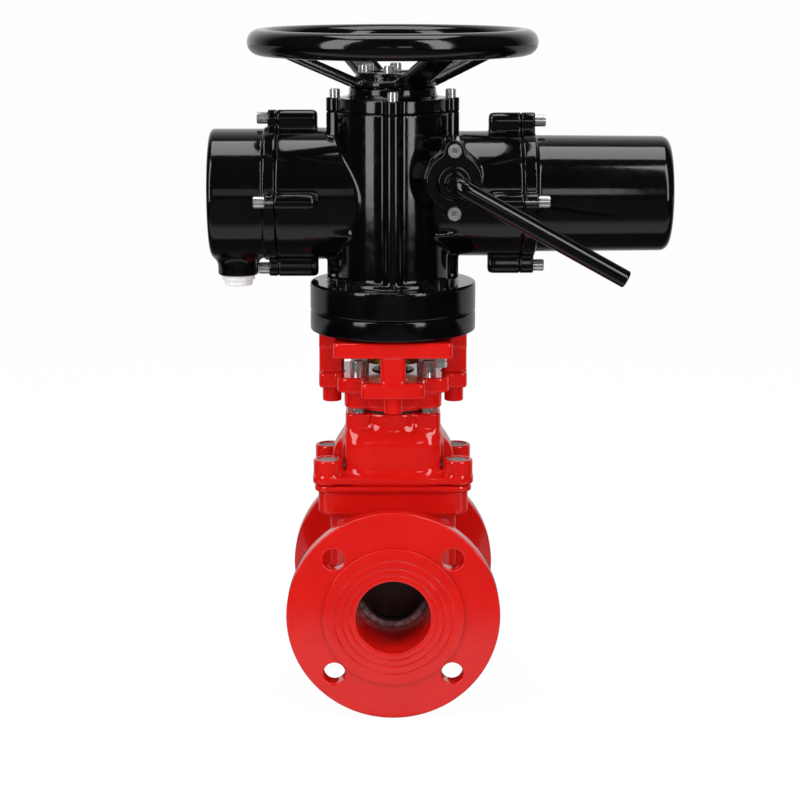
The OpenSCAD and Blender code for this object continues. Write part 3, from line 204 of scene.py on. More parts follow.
def black_enamel():
    """Black stoving enamel on cast aluminium: mirror-like, with fine orange peel over slow waves."""
    material, tree, coords, shader = new_material("black_enamel_on_cast_aluminium")
    colour_by(tree, shader, noise(tree, coords, 25.0, 3.0), "#050506", "#08080a")
    roughness_by(tree, shader, noise(tree, coords, 7.0, 4.0), 0.06, 0.13)
    waves = bump(tree, noise(tree, coords, 12.0, 1.5), 0.5, 0.09)
    peel = bump(tree, noise(tree, coords, 1.8, 1.0), 0.3, 0.03, waves)
    tree.links.new(peel, shader.inputs["Normal"])
    shader.inputs["IOR"].default_value = PAINT_IOR
    return material


def turned_metal(name, low, high, rough_low, rough_high, grain_mm=0.6, mirror=1.0):
    """Turned, drawn or cast metal: grain in colour, roughness and height; mirror is how metallic."""
    material, tree, coords, shader = new_material(name)
    grain = noise(tree, coords, grain_mm, 3.0)
    colour_by(tree, shader, grain, low, high)
    roughness_by(tree, shader, noise(tree, coords, grain_mm * 3, 3.0), rough_low, rough_high)
    tree.links.new(bump(tree, grain, 0.2, 0.02), shader.inputs["Normal"])
    shader.inputs["Metallic"].default_value = mirror
    return material


def soft_material(name, low, high, rough_low, rough_high, grain_mm, depth_mm):
    """Rubber, wax or moulded plastic: a little mottling, and the grain of its mould."""
    material, tree, coords, shader = new_material(name)
    colour_by(tree, shader, noise(tree, coords, grain_mm * 6, 3.0), low, high)
    roughness_by(tree, shader, noise(tree, coords, grain_mm * 2, 3.0), rough_low, rough_high)
    grain = bump(tree, noise(tree, coords, grain_mm, 2.0), 0.3, depth_mm)
    tree.links.new(grain, shader.inputs["Normal"])
    return material


def seat_rubber():
    """Moulded rubber with a painted highlight: paler and streaked on the lower half of the sealing
    lip.
    The painted highlight is lip times low times streak, where lip goes from 0 to 1 at LIP_R from the
    bore's axis and low from 0 to 1 between 6 and 20 mm below it."""
    material = soft_material("moulded_black_rubber", "#101112", "#18191b", 0.3, 0.45, 0.8, 0.02)
    tree = material.node_tree
    shader = next(n for n in tree.nodes if n.type == "BSDF_PRINCIPLED")
    coords = add_node(tree, "ShaderNodeTexCoord").outputs["Object"]
    place = add_node(tree, "ShaderNodeSeparateXYZ", None, {0: coords})
    flat = add_node(tree, "ShaderNodeCombineXYZ", None,
                    {0: place.outputs["X"], 2: place.outputs["Z"]})
    out = add_node(tree, "ShaderNodeVectorMath", {"operation": "LENGTH"}, {0: flat.outputs[0]})
    lip = remap(tree, out.outputs["Value"], LIP_R * MM - LIP_FADE, LIP_R * MM + LIP_FADE, 0.0, 1.0)
    low = remap(tree, place.outputs["Z"], -0.006, -0.02, 0.0, 1.0)
    streak = remap(tree, noise(tree, coords, 4.0, 5.0, 0.7), 0.38, 0.62, 0.25, 1.0)
    share = arithmetic(tree, "MULTIPLY", arithmetic(tree, "MULTIPLY", lip, low), streak)
    dark = shader.inputs["Base Color"].links[0].from_socket
    # The pale bluish colour mixed in on the lower lip is a painted highlight.
    painted_lip_highlight = add_node(tree, "ShaderNodeMix", {"data_type": "RGBA", 7: linear("#dfeaee")},
                      {0: share, 6: dark})
    tree.links.new(painted_lip_highlight.outputs[2], shader.inputs["Base Color"])
    return material


MACHINED_RED = red_epoxy("red_epoxy_on_turned_iron", 0.02)
MATERIALS = {
    "red_epoxy": red_epoxy(),
    "black_enamel": black_enamel(),
    "stainless_steel": turned_metal("stainless_steel_turned", "#d2d1cf", "#e4e3e1", 0.14, 0.24,
                                    3.0, 0.8),
    "dark_steel": turned_metal("machined_steel_oiled", "#6f7174", "#8d8f92", 0.25, 0.4),
    "ductile_iron": turned_metal("ductile_iron_as_cast", "#3f4143", "#55575a", 0.5, 0.7, 2.0),
    "brass": turned_metal("turned_brass", "#b08a48", "#c9a25c", 0.22, 0.38),
    "black_rubber": seat_rubber(),
    "grey_wax": soft_material("grey_sealing_wax", "#83807f", "#9a9796", 0.45, 0.65, 1.2, 0.08),
    "white_plastic": soft_material("white_polyethylene_moulded", "#ececea", "#f6f6f4", 0.3, 0.42,
                                   0.9, 0.02),
    "bare_aluminium": turned_metal("bare_cast_aluminium", "#9c9ea0", "#b3b5b7", 0.35, 0.5),
    "green_board": soft_material("green_solder_lacquer", "#12512a", "#1a6335", 0.2, 0.3, 0.8, 0.01),
    "grey_plastic": soft_material("grey_polyamide_moulded", "#85888a", "#95989a", 0.4, 0.55,
                                  0.8, 0.02),
}
slot_of = {s["node"]: s["material_slot"] for s in frame["record"]["subparts"]}
for node, obj in frame["nodes"].items():
    obj.data.materials.clear()
    obj.data.materials.append(MATERIALS[slot_of[node]])


# ------------------------------------------------------------------ meshes
def make_piece(name, verts_mm, faces, slot_name, body, replaces=()):
    """A mesh object from millimetre points in the row's frame, with its finish, its body and the
    nodes it stands for."""
    mesh = bpy.data.meshes.new(name)
    verts_mm = np.asarray(verts_mm, float)
    faces = np.asarray(faces, np.int32)
    mesh.vertices.add(len(verts_mm))
    mesh.vertices.foreach_set("co", (verts_mm * MM).astype(np.float32).ravel())
    mesh.loops.add(faces.size)
    mesh.loops.foreach_set("vertex_index", faces.ravel())
    mesh.polygons.add(len(faces))
    starts = np.arange(0, faces.size, faces.shape[1], dtype=np.int32)
    mesh.polygons.foreach_set("loop_start", starts)
    mesh.update(calc_edges=True)
    mesh.validate()
    mesh.polygons.foreach_set("use_smooth", np.full(len(mesh.polygons), True))
    mesh.materials.append(MATERIALS[slot_name])
    piece = bpy.data.objects.new(name, mesh)
    bpy.context.scene.collection.objects.link(piece)
    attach(piece, body)
    if replaces:
        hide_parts(*replaces)
    return piece


def rounded(points, radii, steps=4):
    """A polyline whose corners are replaced by arcs of the given radii: each arc runs from the point
    where it touches the first leg to the point where it touches the second."""
    out = []
    pts = np.asarray(points, float)
    for k, (p, r) in enumerate(zip(pts, radii)):
        if r <= 0 or k in (0, len(pts) - 1):
            out.append(p[None])
            continue
        a, b = pts[k - 1] - p, pts[k + 1] - p
        a, b = a / np.linalg.norm(a), b / np.linalg.norm(b)
        half = math.acos(np.clip(a @ b, -1, 1)) / 2
        t = r / math.tan(half)
        centre = p + (a + b) / np.linalg.norm(a + b) * r / math.sin(half)
        s, e = p + a * t - centre, p + b * t - centre
        w = np.linspace(0, 1, steps + 1)[:, None]
        arc = s * (1 - w) + e * w
        out.append(centre + arc / np.linalg.norm(arc, axis=1, keepdims=True) * r)
    return np.concatenate(out)


def turned(profile, cols):
    """Points and outward quads of a profile of (radius, height) that runs up the outside, turned
    about Z: x = r cos a, y = r sin a, z = height."""
    a = np.arange(cols) * 2 * math.pi / cols
    r, h = profile[:, 0][:, None], profile[:, 1][:, None]
    verts = np.stack([r * np.cos(a), r * np.sin(a), h + 0 * a], -1).reshape(-1, 3)
    i = np.arange(len(profile) - 1)[:, None] * cols
    j = np.arange(cols)[None, :]
    j2 = (j + 1) % cols
    return verts, np.stack([i + j, i + j2, i + cols + j2, i + cols + j], -1).reshape(-1, 4)


# ------------------------------------------------------------------ distances
def soft_min(a, b, k):
    """Union of two distances with a fillet of about k: the smaller of both, less a cubic dip where
    they are close."""
    h = np.maximum(k - np.abs(a - b), 0.0) / k
    return np.minimum(a, b) - h * h * h * k / 6.0


def soft_max(a, b, k):
    """Intersection of two distances with its edge rounded by about k."""
    return -soft_min(-a, -b, k)


def plate(flat, along, lo, hi, edge):
    """Distance to an outline carried from lo to hi: the outline's distance and the height's, joined
    by a round edge."""
    w = np.stack([flat + edge, np.abs(along - (lo + hi) / 2) - (hi - lo) / 2 + edge])
    return np.minimum(w.max(0), 0.0) + np.hypot(*np.maximum(w, 0.0)) - edge


def round_rect(x, y, hx, hy, r):
    """Distance to a rectangle of half sizes hx, hy whose corners have radius r."""
    qx, qy = np.abs(x) - hx + r, np.abs(y) - hy + r
    outside = np.hypot(np.maximum(qx, 0.0), np.maximum(qy, 0.0))
    return np.minimum(np.maximum(qx, qy), 0.0) + outside - r


def fold(u, v):
    """Folds a pattern of four round an axis into one: distance out along its arm, and across it."""
    return np.maximum(np.abs(u), np.abs(v)), np.minimum(np.abs(u), np.abs(v))


def edge_crossings(value, cell):
    """Sum and number of the points where the surface crosses a cell's twelve edges, in grid steps."""
    total, hits = np.zeros((len(cell), 3)), np.zeros(len(cell))
    for axis in range(3):
        for u, v in ((0, 0), (0, 1), (1, 0), (1, 1)):
            first = np.insert([u, v], axis, 0)
            second = np.insert([u, v], axis, 1)
            a = value[tuple((cell + first).T)]
            b = value[tuple((cell + second).T)]
            cross = (a < 0) != (b < 0)
            t = np.where(cross, a / np.where(cross, a - b, 1.0), 0.0)
            point = cell + first + t[:, None] * (second - first)
            total += np.where(cross[:, None], point, 0.0)
            hits += cross
    return total, hits


def crossed_quads(inside, index):
    """A quad round each grid edge that the surface crosses, on the points of its four cells."""
    quads = []
    for axis in range(3):
        a_slice, b_slice = [slice(1, -1)] * 3, [slice(1, -1)] * 3
        a_slice[axis], b_slice[axis] = slice(0, -1), slice(1, None)
        change = inside[tuple(a_slice)] != inside[tuple(b_slice)]
        at = np.argwhere(change) + np.where(np.arange(3) == axis, 0, 1)
        u, v = [d for d in range(3) if d != axis]
        ring = []
        for du, dv in ((-1, -1), (0, -1), (0, 0), (-1, 0)):
            c = at.copy()
            c[:, u] += du
            c[:, v] += dv
            ring.append(index[tuple(c.T)])
        quad = np.stack(ring, -1)
        outward = inside[tuple(at.T)]
        flip = outward if axis != 1 else ~outward
        quad[~flip] = quad[~flip][:, ::-1]
        quads.append(quad)
    return np.concatenate(quads)


SLAB = 16
PROBE = 0.05
NEWTON_STEPS = 4
LEAST_SLOPE = 0.25


def net(shape, lo, hi, step):
    """Skin of a solid given by a distance function: one point in each grid cell that the surface
    crosses, at the mean of its edge crossings, and a quad across each crossed edge. Newton steps then
    take the points onto the surface: each moves by the distance times the slope over the slope
    squared, at most half a cell."""
    axes = [np.arange(a - step, b + 2 * step, step) for a, b in zip(lo, hi)]
    size = [len(a) for a in axes]
    value = np.empty(size, np.float32)
    for start in range(0, size[0], SLAB):
        part = np.meshgrid(axes[0][start:start + SLAB], axes[1], axes[2], indexing="ij")
        value[start:start + SLAB] = shape(*part)
    inside = value < 0
    cells = [n - 1 for n in size]
    corners = [(slice(i, i + cells[0]), slice(j, j + cells[1]), slice(k, k + cells[2]))
               for i in (0, 1) for j in (0, 1) for k in (0, 1)]
    count = sum(inside[s].astype(np.int8) for s in corners)
    active = (count > 0) & (count < 8)
    index = np.full(cells, -1, np.int32)
    index[active] = np.arange(active.sum())
    total, hits = edge_crossings(value, np.argwhere(active))
    verts = total / hits[:, None] * step + np.array([a[0] for a in axes])
    probes = PROBE * np.eye(3)
    for _ in range(NEWTON_STEPS):
        d = shape(*verts.T)
        rise = [shape(*(verts + p).T) - shape(*(verts - p).T) for p in probes]
        slope = np.stack(rise, -1) / (2 * PROBE)
        move = d[:, None] * slope / np.maximum((slope ** 2).sum(1, keepdims=True), LEAST_SLOPE)
        verts = verts - np.clip(move, -step / 2, step / 2)
    return verts, crossed_quads(inside, index)


def about_stem(lo, hi):
    """A box of the row's frame, given about the stem's axis."""
    return lo - [0, STEM_Y, 0], hi - [0, STEM_Y, 0]


def casting(name, shape, lo, hi, step, slot_name, body, replaces):
    """A cast piece: shape works about the stem's axis, so its points move to the row's frame."""
    verts, faces = net(shape, lo, hi, step)
    return make_piece(name, verts + [0, STEM_Y, 0], faces, slot_name, body, replaces)


# Below, the last number of soft_min, soft_max and plate is a fillet or an edge radius. An outline
# of three numbers is a rounded rectangle's half sizes and corner radius.
# ------------------------------------------------------------------ valve body
BORE_R = 32.5
TUBE_R = 43.5
RAISED, RAISED_R = 3, 61
FLANGE_HALF = 8
FLANGE_EDGE = 1.3
BOLT_CIRCLE_R, BOLT_R = 72.5, 9.5
BOLT_AT = BOLT_CIRCLE_R * math.sqrt(0.5)
GROOVES = (51, 44, 38)
PLATE_Y = HALF_L - RAISED - 2 * FLANGE_HALF
CHAMBER_PLAN = (57.5, 32, 22)
CHAMBER_FRONT = (57.5, 111.5, 50)
BLOCK_PLAN = (66, 38, 14)
JOINT_PLAN = (69, 41, 13)
ROOM_PLAN = (34.5, 22, 2.5)
GUIDE_PLAN = (44, 8, 3)
FAR = 200


def body_shape(x, y, z):
    """Pipe tube, rounded wedge chamber, block under the joint and joint flange, less the bore, the
    chamber with its two guides, and the flanges' bolt holes."""
    out, ay = np.hypot(x, z), np.abs(y)
    flange_root = plate(out - FLANGE_R + 4, ay, PLATE_Y + 0.1, FAR, 1)
    tube = soft_min(out - TUBE_R, flange_root, 14)
    chamber = soft_max(round_rect(x, y, *CHAMBER_PLAN), round_rect(x, z - 60, *CHAMBER_FRONT), 8)
    shape = soft_min(tube, soft_max(chamber, z - JOINT_Z + 5, 2), 9)
    block = plate(round_rect(x, y, *BLOCK_PLAN), z, JOINT_Z - 29, JOINT_Z - 3, 5)
    shape = soft_min(shape, block, 9)
    joint = plate(round_rect(x, y, *JOINT_PLAN), z, JOINT_Z - 6, JOINT_Z, 1.6)
    shape = soft_min(shape, joint, 3)
    bore = out - BORE_R
    room = np.maximum(round_rect(x, y, *ROOM_PLAN), np.where(z > 0, -FAR, bore - 2))
    guide = np.maximum(round_rect(x, y, *GUIDE_PLAN), -z - 8)
    bolt = np.hypot(np.abs(x) - BOLT_AT, np.abs(z) - BOLT_AT) - BOLT_R + 0.2
    bolt = np.maximum(bolt, 60 - ay)
    hollow = np.minimum(np.minimum(bore, room), np.minimum(guide, bolt))
    shape = soft_max(shape, -hollow, 1.2)
    return np.maximum(shape, ay - PLATE_Y - 1.5)


casting("body_casting", body_shape, (-72, -PLATE_Y - 4, -62), (72, PLATE_Y + 4, JOINT_Z + 1),
        1.5, "red_epoxy", "valve", ("valve_body",))


def flange(side):
    """Mesh of one pipe flange: an outline filled round its bore and bolt holes, given thickness and
    round edges."""
    curve = bpy.data.curves.new("flange_outline", "CURVE")
    curve.dimensions = "2D"
    curve.fill_mode = "BOTH"
    circles = [(0.0, 0.0, FLANGE_R - FLANGE_EDGE, 160), (0.0, 0.0, BORE_R + 6 + FLANGE_EDGE, 56)]
    for a in (np.arange(4) + 0.5) * math.pi / 2:
        centre = (BOLT_CIRCLE_R * math.cos(a), BOLT_CIRCLE_R * math.sin(a))
        circles.append((*centre, BOLT_R + FLANGE_EDGE, 56))
    for cx, cy, r, cols in circles:
        a = np.arange(cols) * 2 * math.pi / cols
        line = curve.splines.new("POLY")
        line.points.add(cols - 1)
        flat = np.stack([cx + r * np.cos(a), cy + r * np.sin(a), 0 * a, 0 * a + 1], -1)
        flat[:, :3] *= MM
        line.points.foreach_set("co", flat.ravel())
        line.use_cyclic_u = True
    curve.extrude = (FLANGE_HALF - FLANGE_EDGE) * MM
    curve.bevel_depth = FLANGE_EDGE * MM
    curve.bevel_resolution = 3
    holder = bpy.data.objects.new("flange_outline", curve)
    bpy.context.scene.collection.objects.link(holder)
    mesh = bpy.data.meshes.new_from_object(holder)
    bpy.data.objects.remove(holder)
    co = np.empty(len(mesh.vertices) * 3, np.float32)
    mesh.vertices.foreach_get("co", co)
    co = co.reshape(-1, 3)
    along = side * (co[:, 2] + (HALF_L - RAISED - FLANGE_HALF) * MM) + STEM_Y * MM
    co = np.stack([co[:, 0], along, side * -co[:, 1]], -1)
    mesh.vertices.foreach_set("co", co.ravel())
    return mesh


def groove(r, depth=0.7, half=0.8):
    """Cross-section of a shallow round-bottomed groove at radius r, from outside in."""
    return [(r + half, 0), (r + half * 0.5, -depth * 0.8), (r, -depth),
            (r - half * 0.5, -depth * 0.8), (r - half, 0)]


def raised_face(side):
    """The raised sealing face with its grooves, and the bore behind it, turned about the pipe."""
    grooves = [(r, HALF_L + h) for centre in GROOVES for r, h in groove(centre)]
    line = [(RAISED_R, HALF_L - 6), (RAISED_R, HALF_L), *grooves, (BORE_R, HALF_L), (BORE_R, 20)]
    profile = rounded(line, [0, 0.5] + [0.2] * len(grooves) + [0.6, 0], 3)
    verts, faces = turned(profile, 128)
    verts = np.stack([verts[:, 0], side * verts[:, 2] + STEM_Y, side * -verts[:, 1]], -1)
    return verts, faces


for side, name in ((-1, "inlet"), (1, "outlet")):
    mesh = flange(side)
    mesh.name = name + "_flange"
    mesh.materials.clear()
    mesh.materials.append(MACHINED_RED)
    piece = bpy.data.objects.new(name + "_flange", mesh)
    bpy.context.scene.collection.objects.link(piece)
    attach(piece, "valve")
    for polygon in mesh.polygons:
        polygon.use_smooth = abs(polygon.normal.y) < 0.999
    verts, faces = raised_face(side)
    piece = make_piece(name + "_raised_face", verts, faces, "red_epoxy", "valve")
    piece.data.materials[0] = MACHINED_RED


# ------------------------------------------------------------------ bonnet
BOSS_X, BOSS_Y, BOSS_R = 57, 29, 13
SEAT_R, SEAT_UP = 9.65, 11.5
PLATE_PLAN = (70, 42, 13)
ARCH_R = 60
VAULT_PLAN = (54, 38.6, 22)
VAULT_SIDE = (38.5, 60, 20)
ROOM_FRONT = (42, 60, 20)
NECK_ROOM = (22, 18.5, 6)
NECK_LOBE_R, NECK_MID_R, NECK_WAIST_R = 12.3, 27, 33
STEM_HOLE_R, SEAL_R = 10.6, 20.05
NECK_X, NECK_Y = 29.5, 21.0
NECK_HOLE_R = 5.3


def neck_plan(x, y, lobe, mid):
    """Four screw lobes and a round middle, with soft hollows between."""
    ax, ay = np.abs(x), np.abs(y)
    plan = soft_min(np.hypot(ax - NECK_X, ay - NECK_Y) - lobe, np.hypot(x, y) - mid, 4)
    return soft_min(plan, round_rect(x, y, NECK_X + lobe, NECK_Y * 0.8, 2), 2)


def bonnet_shape(x, y, z):
    """Joint plate, four bosses, vault and lobed neck, hollow inside. The vault is arched at ARCH_R
    about the joint's height and has upper edges of 20 mm and cut-off corners."""
    up, z0 = z - JOINT_Z, JOINT_Z + 1.4
    ax, ay, r = np.abs(x), np.abs(y), np.hypot(x, y)
    boss = np.hypot(ax - BOSS_X, ay - BOSS_Y)
    shape = plate(round_rect(x, y, *PLATE_PLAN), z, z0, JOINT_Z + 7.8, 1.5)
    vault = soft_max(np.hypot(x, up) - ARCH_R, round_rect(y, up + 8.5, *VAULT_SIDE), 12)
    vault = soft_max(vault, round_rect(x, y, *VAULT_PLAN), 5)
    vault = soft_max(vault, 0.7 * (ax + ay) - 51, 14)
    vault = soft_max(vault, z0 - z, 1)
    vault = soft_max(vault, -np.maximum(boss - BOSS_R - 2.5, SEAT_UP - up), 3)
    shape = soft_min(shape, vault, 12)
    shape = soft_min(shape, plate(boss - BOSS_R, z, z0, JOINT_Z + 22.5, 1.6), 4)
    plan = soft_max(neck_plan(x, y, NECK_LOBE_R, NECK_MID_R), ay - 30, 4)
    neck = plate(plan, z, JOINT_Z + 22, NECK_TOP, 1.6)
    middle = plate(r - NECK_WAIST_R, z, JOINT_Z + 40, NECK_TOP, 1.6)
    shape = soft_min(shape, soft_min(neck, middle, 4), 7)
    room = soft_max(round_rect(x, up + 22, *ROOM_FRONT), round_rect(x, y, 42, 22, 9), 2)
    room = np.minimum(room, np.maximum(round_rect(x, y, *NECK_ROOM), up - 40.5))
    room = np.minimum(room, r - STEM_HOLE_R)
    room = np.minimum(room, np.maximum(r - SEAL_R, 44 - up))
    seat = np.maximum(boss - SEAT_R, SEAT_UP - up)
    hole = np.hypot(ax - NECK_X, ay - NECK_Y) - NECK_HOLE_R
    hole = np.maximum(hole, NECK_TOP - 18 - z)
    return soft_max(shape, -np.minimum(np.minimum(room, seat), hole), 1.2)


casting("bonnet_casting", bonnet_shape, (-71, -43, JOINT_Z), (71, 43, NECK_TOP + 1), 1.05,
        "red_epoxy", "valve", ("bonnet",))


# ------------------------------------------------------------------ yoke
LOW_UP, WINDOW_UP, TOP_UP = 17.7, 31.1, 53.1
HUB_LOBE_R, HUB_MID_R, HUB_R = 13.1, 38, 36
ARMS_DEEP, ARMS_WIDE, LOW_PLAN = (27.5, 66.5, 5), (65, 17.5, 5), (49, 40.5, 11)
TOP_PLAN = (51, 66.5, 4)
POST_AT, POST_PLAN = 54, (11, 11, 5)
SIDE_PAD, FRONT_PAD, PAD_UP = (11, 12, 4), (12, 11, 4), 15.4
EARTH_X, EARTH_Y, EARTH_R = 39.5, -40, 4.15


def yoke_shape(x, y, z):
    """Top plate and lobed lower plate with four arms, joined by four square posts, over a hub; bored
    for its screws."""
    low, window, top = HUB_Z + LOW_UP, HUB_Z + WINDOW_UP, HUB_Z + TOP_UP
    ax, ay, r = np.abs(x), np.abs(y), np.hypot(x, y)
    big, small = fold(x, y)
    hub = plate(neck_plan(x, y, HUB_LOBE_R, HUB_MID_R), z, HUB_Z + 2.5, low + 2, 1.8)
    hub = soft_min(hub, plate(r - HUB_R, z, HUB_Z, low, 1.5), 2)
    plan = soft_min(round_rect(x, y, *ARMS_DEEP), round_rect(x, y, *ARMS_WIDE), 3)
    plan = soft_min(plan, round_rect(x, y, *LOW_PLAN), 4)
    shape = soft_min(hub, plate(plan, z, low, window, 2), 3)
    post = plate(round_rect(big - POST_AT, small, *POST_PLAN), z, low, top + 4, 1)
    shape = soft_min(shape, post, 2.5)
    shape = soft_min(shape, plate(round_rect(x, y, *TOP_PLAN), z, top, top + 13.4, 2), 2.5)
    side = plate(round_rect(ax - POST_AT, y, *SIDE_PAD), z, top, top + PAD_UP, 1)
    front = plate(round_rect(x, ay - 50, *FRONT_PAD), z, top, top + PAD_UP, 1)
    shape = soft_min(shape, np.minimum(side, front), 1.5)
    hole = np.minimum(r - 13, np.maximum(r - 18.15, window - 4 - z))
    hole = np.minimum(hole, np.maximum(r - 32, top - 1 - z))
    hole = np.minimum(hole, np.hypot(ax - NECK_X, ay - NECK_Y) - NECK_HOLE_R)
    hole = np.minimum(hole, np.hypot(big - POST_AT, small) - 5.4)
    earth = np.hypot(x - EARTH_X, y - EARTH_Y) - EARTH_R
    earth = np.maximum(earth, np.abs(z - top - 4) - 5.5)
    return soft_max(shape, -np.minimum(hole, earth), 1.0)


casting("yoke_casting", yoke_shape, (-67, -67.5, HUB_Z), (67, 67.5, HUB_Z + 69), 1.15,
        "red_epoxy", "valve", ("yoke",))


# ------------------------------------------------------------------ actuator case and covers
COLUMN_R, RIB_R = 50, 7.5
LUG_R, LUG_HALF, LUG_ROOT = 7.2, 6.6, 50
WIRE_LUG_AT, MOTOR_LUG_AT = 66, 63.5
LUG_ROLL = 40
WIRE_TUBE_R, MOTOR_TUBE_R = 57.5, 54.5
WIRE_COVER_R, WIRE_RING_R = 56.6, 58.2
MOTOR_COVER_R, MOTOR_RING_R = 51, 55.3
FOOT_R = 57.5
CABLE_X, CABLE_BOSS_R, CABLE_HOLE_R = WIRE_X - 35.6, 17.8, 10.05
LEVER_BOSS_R, EAR_UP, EAR_R = 23.5, 26.3, 8.5


def ribs(x, y):
    """Four round ribs on the column's radius, on the front, the back and both sides."""
    big, small = fold(x, y)
    return np.hypot(big - COLUMN_R, small) - RIB_R


def lug(x, y, z, at, x0, x1, edge, end=0.0):
    """Four screw lugs round the side tubes, each a round nose on a web that runs down into the tube.
    The far end, where end isn't 0, is rolled off."""
    out, across = fold(y - TUBE_Y, z - TUBE_Z)
    nose = np.hypot(out - at, across) - LUG_R
    web = round_rect(out - (at + LUG_ROOT) / 2, across, (at - LUG_ROOT) / 2, LUG_HALF, 0.5)
    bar = soft_min(nose, web, 2)
    if end:
        bar = soft_max(bar, np.abs(x - end) - abs(end - (x0 + x1) / 2) - (x1 - x0) / 2 + 0.3, 8)
    return plate(bar, x, x0, x1, edge)


def lever_plan(x, z):
    """Outline of the lever's boss: a round middle with a screw ear above and below."""
    lx, lz = x - LEVER_X, z - LEVER_Z
    ears = np.hypot(lx, np.abs(lz) - EAR_UP) - EAR_R
    return soft_min(np.hypot(lx, lz) - LEVER_BOSS_R, ears, 9)


def house_shape(x, y, z):
    """Column with four ribs, foot, low gear case, side tubes with lugs and the lever's boss, as one
    casting."""
    r, t = np.hypot(x, y), np.hypot(y - TUBE_Y, z - TUBE_Z)
    shape = plate(r - COLUMN_R, z, FOOT_Z + 3, COVER_Z, 0.6)
    shape = soft_min(shape, plate(ribs(x, y), z, FOOT_Z + 3, COVER_Z, 0.6), 3)
    belly = np.hypot(np.maximum(np.abs(x) - 33, 0), y) - 39 + 0.9 * (COLUMN_Z + 47 - z)
    case = plate(0.75 * belly, z, COLUMN_Z + 22, COLUMN_Z + 47, 5)
    wire_tube = plate(t - WIRE_TUBE_R, x, WIRE_X, 0, 1.2)
    tubes = np.minimum(wire_tube, plate(t - MOTOR_TUBE_R, x, 0, MOTOR_X, 1.2))
    wire_lug = lug(x, y, z, WIRE_LUG_AT, WIRE_X, WIRE_X + 36, 1.0, WIRE_X - LUG_ROLL)
    motor_lug = lug(x, y, z, MOTOR_LUG_AT, MOTOR_X - 29, MOTOR_X, 1.0, MOTOR_X + LUG_ROLL)
    tubes = soft_min(soft_min(tubes, wire_lug, 1.6), motor_lug, 1.6)
    tubes = soft_min(tubes, case, 4)
    shape = soft_min(shape, tubes, 3.5)
    shape = soft_min(shape, plate(r - FOOT_R, z, COLUMN_Z - 2, COLUMN_Z + 3.6, 1.2), 2.5)
    shape = soft_min(shape, plate(r - BASE_R, z, FOOT_Z, COLUMN_Z, 1.6), 2)
    return soft_min(shape, plate(lever_plan(x, z), y, LEVER_FACE + 6, -10, 0.8), 3.5)


casting("case_casting", house_shape, (house_lo[0], house_lo[1] - STEM_Y, FOOT_Z),
        (house_hi[0], house_hi[1] - STEM_Y, COVER_Z + 1), 1.5,
        "black_enamel", "valve", ("actuator_housing",))


def wire_cover_shape(x, y, z):
    """Electrical cover: round body with a soft end, joint ring, lugs, and the cable boss melting into
    its belly."""
    t = np.hypot(y - TUBE_Y, z - TUBE_Z)
    shape = plate(t - WIRE_COVER_R, x, WIRE_END + 2, WIRE_X, 4.5)
    ring = plate(t - WIRE_RING_R, x, WIRE_X - 11, WIRE_X, 1.0)
    ring = soft_min(ring, lug(x, y, z, WIRE_LUG_AT, WIRE_X - 8, WIRE_X, 0.8), 1.6)
    shape = soft_min(shape, ring, 1.2)
    cable = np.hypot(x - CABLE_X, y - TUBE_Y)
    shape = soft_min(shape, plate(cable - CABLE_BOSS_R, z, TUBE_Z - 71.5, TUBE_Z, 1.5), 12)
    shape = soft_max(shape, x - WIRE_X, 0.6)
    return soft_max(shape, -np.maximum(cable - CABLE_HOLE_R, z - TUBE_Z + 40), 0.8)


casting("electrical_cover_casting", wire_cover_shape, *about_stem(wire_lo, wire_hi), 1.25,
        "black_enamel", "valve", ("electrical_cover",))


def motor_cover_shape(x, y, z):
    """Motor cover: long round body, a little tapered, on a joint ring with lugs."""
    t = np.hypot(y - TUBE_Y, z - TUBE_Z)
    taper = (x - MOTOR_X) / (MOTOR_END - MOTOR_X)
    shape = plate(t - MOTOR_COVER_R + taper, x, MOTOR_X, MOTOR_END - 4, 8)
    ring = plate(t - MOTOR_RING_R, x, MOTOR_X, MOTOR_X + 12, 1.0)
    ring = soft_min(ring, lug(x, y, z, MOTOR_LUG_AT, MOTOR_X, MOTOR_X + 12, 0.8), 1.6)
    return soft_min(shape, ring, 4)


casting("motor_cover_casting", motor_cover_shape, *about_stem(motor_lo, motor_hi), 1.4,
        "black_enamel", "valve", ("motor_cover",))


def top_cover_shape(x, y, z):
    """Top cover: disc with four lugs and a neck that flares into it, bored for the hand shaft."""
    r = np.hypot(x, y)
    shape = plate(soft_min(r - 48, ribs(x, y), 4), z, COVER_Z, COVER_Z + 12, 0.8)
    shape = soft_min(shape, plate(r - 37.5, z, COVER_Z + 5, COVER_TOP, 1.0), 9)
    return soft_max(shape, -np.minimum(r - 15.05, np.maximum(r - 22, COVER_TOP - 7 - z)), 0.6)


casting("top_cover_casting", top_cover_shape, (-59, -59, COVER_Z), (59, 59, COVER_TOP), 1.1,
        "black_enamel", "valve", ("top_cover",))


def lever_cover_shape(x, y, z):
    """Two-eared cover plate of the lever's boss with its round hole."""
    shape = plate(lever_plan(x, z), y, LEVER_FACE, LEVER_FACE + 6, 0.9)
    return soft_max(shape, -(np.hypot(x - LEVER_X, z - LEVER_Z) - 14.5), 0.6)


casting("lever_cover_plate", lever_cover_shape, (lever_lo[0], LEVER_FACE, lever_lo[2]),
        (lever_hi[0], LEVER_FACE + 6, lever_hi[2]), 0.7, "black_enamel", "valve", ("lever_cover",))


# ------------------------------------------------------------------ clutch lever
ROD_R = 7.5
BEND_R = 14.0
BEND_AT = 6
HUB_DISC_R, HUB_DISC_BACK = 13.7, 2.7
DROP = math.radians(29)
ROD_END = (rod_hi[0] - LEVER_X - ROD_R * math.sin(DROP)) / math.cos(DROP)


